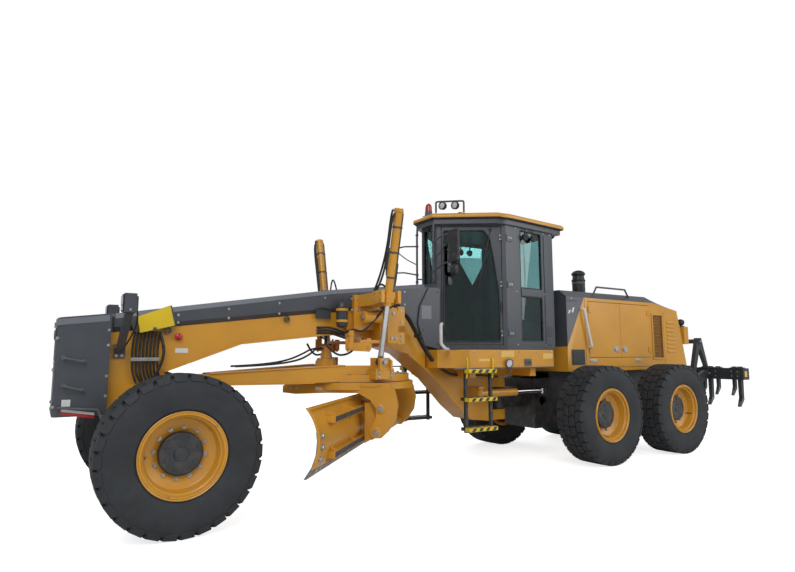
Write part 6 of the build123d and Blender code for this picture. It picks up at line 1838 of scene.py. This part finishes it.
class GRADER_OT_hood(bpy.types.Operator):
    """Hood sides: vents, grilles, latches, seams, blank stickers, grab bars"""

    bl_idname = "grader.hood"
    bl_label = "Hood"

    def execute(self, context):
        for side in BOTH_SIDES:
            behind_box((5.36, 5.60), (0.6302, 0.6345), (2.24, 2.262), side, 0.002)
            for d in (5.39, 5.46, 5.53):
                behind_box((d, d + 0.03), (0.6345, 0.6385), (2.243, 2.259), side, 0.001)
        piece("hood_front_panels", "rear_frame", "slate")
        for side in BOTH_SIDES:
            behind_box((5.425, 5.705), (0.6305, 0.642), (1.318, 1.540), side, 0.006)
            for step in range(7):
                behind_box((5.445, 5.685), (0.642, 0.650), (1.340 + step * 0.026, 1.350 + step * 0.026),
                           side, 0.002)
        piece("hood_vent_panels", "rear_frame", "black")
        for side in BOTH_SIDES:
            for d, low, high in ((5.375, 2.060, 2.110), (5.455, 2.075, 2.150)):
                slab(in_plane(side * 0.6302, (d, low), (d + 0.030, low), (d + 0.065, high),
                              (d + 0.028, high)), (0, side * 0.002, 0), 0.0006, 1)
        piece("hood_stickers", "rear_frame", "white")
        for side in BOTH_SIDES:
            rail([hood_place(5.671, 2.132, side), hood_place(5.675, 2.130, side, 0.050),
                  hood_place(5.812, 1.580, side, 0.050), hood_place(5.815, 1.575, side)], 0.019)
        piece("hood_grab_bars", "rear_frame", "white")
        for side_name, side in NAMED_SIDES:
            # mesh in a raised frame over the grille's slats
            for low, high, first, second in ((1.385, 1.415, 7.385, 7.695), (2.105, 2.135, 7.385, 7.695),
                                             (1.4153, 2.1047, 7.385, 7.415),
                                             (1.4153, 2.1047, 7.665, 7.695)):
                behind_box((first, second), (0.6302, 0.644), (low, high), side)
            piece("grille_frame_" + side_name, "rear_frame", "ochre")
            for step in range(11):
                d = 7.430 + step * 0.0225
                behind_box((d, d + 0.004), (0.6305, 0.6345), (1.416, 2.104), side, 0.001)
            for step in range(27):
                z = 1.435 + step * 0.0248
                behind_box((7.4155, 7.6645), (0.6350, 0.6385), (z, z + 0.004), side, 0.001)
            piece("grille_mesh_" + side_name, "rear_frame", "mesh")
            for d, name in ((6.392, "front"), (6.600, "rear")):
                body = "hood_door_%s_%s" % (name, side_name)
                slab([hood_place(d + shift, z, side)
                      for shift, z in ((0, 1.500), (0.110, 1.500), (0.110, 1.590), (0, 1.590))],
                     (0, side * 0.006, 0), 0.002)
                slab([hood_place(d + shift, z, side, 0.006)
                      for shift, z in ((0.018, 1.515), (0.092, 1.515), (0.092, 1.560), (0.018, 1.560))],
                     (0, side * 0.012, 0))
                piece("hood_latches_%s_%s" % (name, side_name), body, "zinc")
            for d in (5.822, 6.903):
                behind_box((d, d + 0.150), (0.6305, 0.638), (1.346, 1.398), side)
                rail([hood_place(d + 0.03, 1.372, side), hood_place(d + 0.03, 1.372, side, 0.028),
                      hood_place(d + 0.12, 1.372, side, 0.028), hood_place(d + 0.12, 1.372, side)], 0.006)
            for d, z in ((5.46, 2.30), (5.78, 2.30), (7.74, 2.14), (8.05, 2.10), (7.74, 1.30), (8.05, 1.30),
                         (7.35, 1.30), (6.60, 1.30), (5.78, 1.30)):
                bolts([hood_place(d, z - 0.015, side)], (0, side, 0), 0.009)
            piece("hood_lower_latches_" + side_name, "rear_frame", "zinc")
            # seams: dark gaps between the panels
            for first, second, low, high in ((5.74, 8.10, 1.272, 1.278), (7.712, 7.718, 1.30, 2.16),
                                             (5.742, 5.748, 1.30, 2.29)):
                behind_box((first, second), (0.6302, 0.6312), (low, high), side, 0.0003)
            piece("hood_seams_" + side_name, "rear_frame", "black")
            # panel pressed behind the grille and the louvres in it
            for step in range(8):
                z = 1.50 + step * 0.068
                slab([hood_place(d, height, side, out)
                      for d, height, out in ((7.80, z, 0.0), (7.80, z + 0.044, 0.0),
                                             (7.80, z + 0.006, 0.016))], (back(8.02) - back(7.80), 0, 0),
                     0.002, 1)
            piece("hood_louvres_" + side_name, "rear_frame", "ochre")
        return {"FINISHED"}


class GRADER_OT_stack(bpy.types.Operator):
    """Air intake with its cap and band, and the exhaust's collar"""

    bl_idname = "grader.stack"
    bl_label = "Stack"

    def execute(self, context):
        foot = spot(6.400, 0, 0)
        low, high = (corner.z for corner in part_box("intake_stack"))
        pipe = spot(6.750, -0.150, 0)
        tall = high - low - 0.085
        lathe(foot + UP * low, UP,
              [(0.0, 0.0), (0.0, 0.098), (0.02, 0.116), (0.10, 0.116), (0.11, 0.104), (tall - 0.10, 0.102),
               (tall - 0.098, 0.112), (tall - 0.078, 0.112), (tall - 0.076, 0.100), (tall - 0.012, 0.090),
               (tall - 0.010, 0.060), (tall + 0.005, 0.060), (tall + 0.005, 0.0)], 40)
        lathe(foot + UP * (high - 0.085), UP,
              [(0.0, 0.0), (0.0, 0.104), (0.012, 0.112), (0.035, 0.108), (0.060, 0.085), (0.078, 0.045),
               (0.082, 0.018), (0.0845, 0.0)], 40)
        for turn in range(12):
            out = Vector((math.cos(turn * math.pi / 6), math.sin(turn * math.pi / 6), 0))
            bar(foot + out * 0.088 + UP * (high - 0.115), foot + out * 0.088 + UP * (high - 0.086), 0.005,
                8, 0.001)
        piece("intake_cap", "rear_frame", "plastic", replaces=("intake_stack",))
        lathe(foot + UP * (high - 0.230), UP,
              [(0.0, 0.1010), (0.0, 0.1050), (0.030, 0.1050), (0.030, 0.1010)], 40)
        piece("intake_band", "rear_frame", "grey_plastic")
        lathe(pipe + UP * (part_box("hood_top")[1].z - 0.13), UP,
              [(0.0, 0.0), (0.0, 0.080), (0.012, 0.080), (0.018, 0.062), (0.020, 0.0)], 32)
        piece("exhaust_collar", "rear_frame", "dark_steel", "wear_steel")
        return {"FINISHED"}


class GRADER_OT_tail(bpy.types.Operator):
    """Tail: lamps and work lights, rear plate bolts, tandem rings and articulation pin caps"""

    bl_idname = "grader.tail"
    bl_label = "Tail"

    def execute(self, context):
        for side in BOTH_SIDES:
            for z in TAIL_LAMP_HEIGHTS.values():
                lathe(spot(8.4302, side * 0.56, z), (-1, 0, 0),
                      [(0.0, 0.0), (0.0, 0.060), (0.008, 0.060), (0.010, 0.054), (0.004, 0.052),
                       (0.004, 0.0)], 32)
        piece("tail_lamp_rims", "rear_frame", "plastic", "lamp_plastic")
        for look, z in TAIL_LAMP_HEIGHTS.items():
            for side in BOTH_SIDES:
                lathe(spot(8.4300, side * 0.56, z), (-1, 0, 0),
                      [(0.002, 0.0), (0.002, 0.0515), (0.009, 0.048), (0.014, 0.030), (0.016, 0.0)], 32)
            piece("tail_lenses_" + look, "rear_frame", look, "lamp_plastic")
        for side in BOTH_SIDES:
            behind_box((8.30, 8.37), (0.50, 0.62), (1.9403, 1.955), side)
            lathe(spot(8.335, side * 0.56, 2.020), (-1, 0, -0.2),
                  [(-0.045, 0.0), (-0.040, 0.040), (0.0, 0.056), (0.035, 0.058), (0.040, 0.052),
                   (0.028, 0.048), (0.028, 0.0)], 32)
            bar(spot(8.335, side * 0.56, 1.952), spot(8.335, side * 0.56, 1.972), 0.012)
        piece("rear_work_lamps", "rear_frame", "plastic", "lamp_plastic")
        for side in BOTH_SIDES:
            lathe(spot(8.335, side * 0.56, 2.020), (-1, 0, -0.2),
                  [(0.026, 0.0), (0.026, 0.049), (0.036, 0.042), (0.040, 0.0)], 32)
        piece("rear_work_lenses", "rear_frame", "clear")
        for side in BOTH_SIDES:
            for y, z in ((0.10, 1.30), (0.40, 1.30), (0.10, 1.05), (0.40, 1.05)):
                bolts([spot(8.401, side * y, z - 0.03)], (-1, 0, 0), 0.014)
        piece("rear_plate_bolts", "rear_frame", "zinc")
        for side in BOTH_SIDES:
            bolts([spot(3.900, side * 0.370, 1.030)], UP, 0.020)
        piece("articulation_pin_caps", "front", "zinc")
        # tandem: rings where the wheels' shafts come out, bolts along the top
        for side in BOTH_SIDES:
            for d in (5.49, 7.13):
                lathe(spot(d, side * 0.7803, 0.660), (0, side, 0),
                      [(0.0, 0.0), (0.0, 0.170), (0.004, 0.170), (0.008, 0.166), (0.008, 0.0)], 48)
        piece("tandem_rings", "rear_frame", "ochre")
        for side in BOTH_SIDES:
            for step in range(10):
                bolts([spot(5.62 + step * 0.154, side * 0.70, 0.8605)], UP, 0.012)
        piece("tandem_bolts", "rear_frame", "zinc")
        return {"FINISHED"}


TINES = [
    # y, height of its tip, half width
    (0.950, 0.55, 0.030), (0.850, 0.74, 0.0225), (0.570, 0.74, 0.0225), (0.430, 0.55, 0.030),
         (0.320, 0.74, 0.0225),
    (0.0, 0.55, 0.030), (-0.320, 0.74, 0.0225), (-0.430, 0.55, 0.030), (-0.570, 0.74, 0.0225),
         (-0.850, 0.74, 0.0225),
    (-0.950, 0.55, 0.030),
]


class GRADER_OT_ripper(bpy.types.Operator):
    """Ripper: worn tips, shank clamps, pin caps, bolts, bare end labels, hoses"""

    bl_idname = "grader.ripper"
    bl_label = "Ripper"

    def execute(self, context):
        for y, tip, half in TINES:
            wide = half + 0.004
            outline = [(9.402, tip + 0.145), (9.336, tip + 0.006), (9.350, tip + 0.002),
                       (9.476, tip + 0.130)]
            side_slab(outline, (y - wide, y + wide))
        piece("ripper_tips", "ripper", "steel")
        for y, tip, half in TINES:
            box((back(9.549), back(9.345)), (y - half - 0.012, y + half + 0.012), (1.2202, 1.232), 0.003)
            box((back(9.3495), back(9.342)), (y - half - 0.012, y + half + 0.012), (1.05, 1.19), 0.002)
        for side in BOTH_SIDES:
            for distance, z, radius in ((9.10, 1.70, 0.062), (9.10, 1.70, 0.040), (9.34, 1.12, 0.050)):
                disc(spot(distance, side * 0.4552, z), (0, side, 0), radius, 0.010, 28)
        piece("ripper_clamps", "ripper", "black")
        for side in BOTH_SIDES:
            bolts([spot(9.10, side * 0.465, 1.70), spot(9.34, side * 0.465, 1.12)], (0, side, 0), 0.018)
        for y, tip, half in TINES:
            bolts([spot(9.342, y, z) for z in (1.08, 1.16)], (1, 0, 0), 0.010)
            bolts([spot(d, y, 1.232) for d in (9.375, 9.525)], UP, 0.010)
        piece("ripper_bolts", "ripper", "zinc")
        for side in BOTH_SIDES:
            behind_box((9.395, 9.475), (1.0502, 1.0522), (1.07, 1.17), side, 0.0006)
        piece("ripper_labels", "ripper", "orange")
        barrel_low, barrel_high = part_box("ripper_barrel")
        middle = (barrel_low + barrel_high) / 2
        for side in BOTH_SIDES:
            hose(offsets(middle, (-0.06, side * 0.045, 0.10), (-0.02, side * 0.075, 0.13),
                         (0.08, side * 0.085, 0.04), (0.16, side * 0.080, -0.06),
                         (0.20, side * 0.060, -0.13)), 0.009)
        piece("ripper_hoses", "ripper_barrel", "hose")
        return {"FINISHED"}


# ---------------------------------------------------------------- panel and run
OPERATORS = (GRADER_OT_stage, GRADER_OT_skins, GRADER_OT_tyres, GRADER_OT_rims, GRADER_OT_nose,
             GRADER_OT_headlamps, GRADER_OT_beam_hoses, GRADER_OT_lift_cylinders, GRADER_OT_saddle,
             GRADER_OT_circle, GRADER_OT_blade, GRADER_OT_axle, GRADER_OT_cab, GRADER_OT_interior,
             GRADER_OT_roof, GRADER_OT_deck, GRADER_OT_hood, GRADER_OT_stack, GRADER_OT_tail,
             GRADER_OT_ripper,)


class GRADER_PT_panel(bpy.types.Panel):
    """Lists every operator of the grader"""

    bl_idname = "GRADER_PT_panel"
    bl_label = "Motor grader"
    bl_space_type = "VIEW_3D"
    bl_region_type = "UI"
    bl_category = "Grader"

    def draw(self, context):
        for settings in (context.scene.grader_colours, context.scene.grader_sizes):
            for name in settings.__annotations__:
                self.layout.prop(settings, name)
        for operator in OPERATORS:
            self.layout.operator(operator.bl_idname)


CLASSES = (GraderColours, GraderSizes) + OPERATORS + (GRADER_PT_panel,)


def register():
    for each in CLASSES:
        bpy.utils.register_class(each)
    bpy.types.Scene.grader_colours = bpy.props.PointerProperty(type=GraderColours)
    bpy.types.Scene.grader_sizes = bpy.props.PointerProperty(type=GraderSizes)


def unregister():
    del bpy.types.Scene.grader_sizes
    del bpy.types.Scene.grader_colours
    for each in reversed(CLASSES):
        bpy.utils.unregister_class(each)


def main():
    register()
    mix_paints()
    bpy.ops.grader.stage()
    bpy.ops.grader.skins()
    bpy.ops.grader.tyres()
    bpy.ops.grader.rims()
    bpy.ops.grader.nose()
    bpy.ops.grader.headlamps()
    bpy.ops.grader.beam_hoses()
    bpy.ops.grader.lift_cylinders()
    bpy.ops.grader.saddle()
    bpy.ops.grader.circle()
    bpy.ops.grader.blade()
    bpy.ops.grader.axle()
    bpy.ops.grader.cab()
    bpy.ops.grader.interior()
    bpy.ops.grader.roof()
    bpy.ops.grader.deck()
    bpy.ops.grader.hood()
    bpy.ops.grader.stack()
    bpy.ops.grader.tail()
    bpy.ops.grader.ripper()


if __name__ == "__main__":
    main()
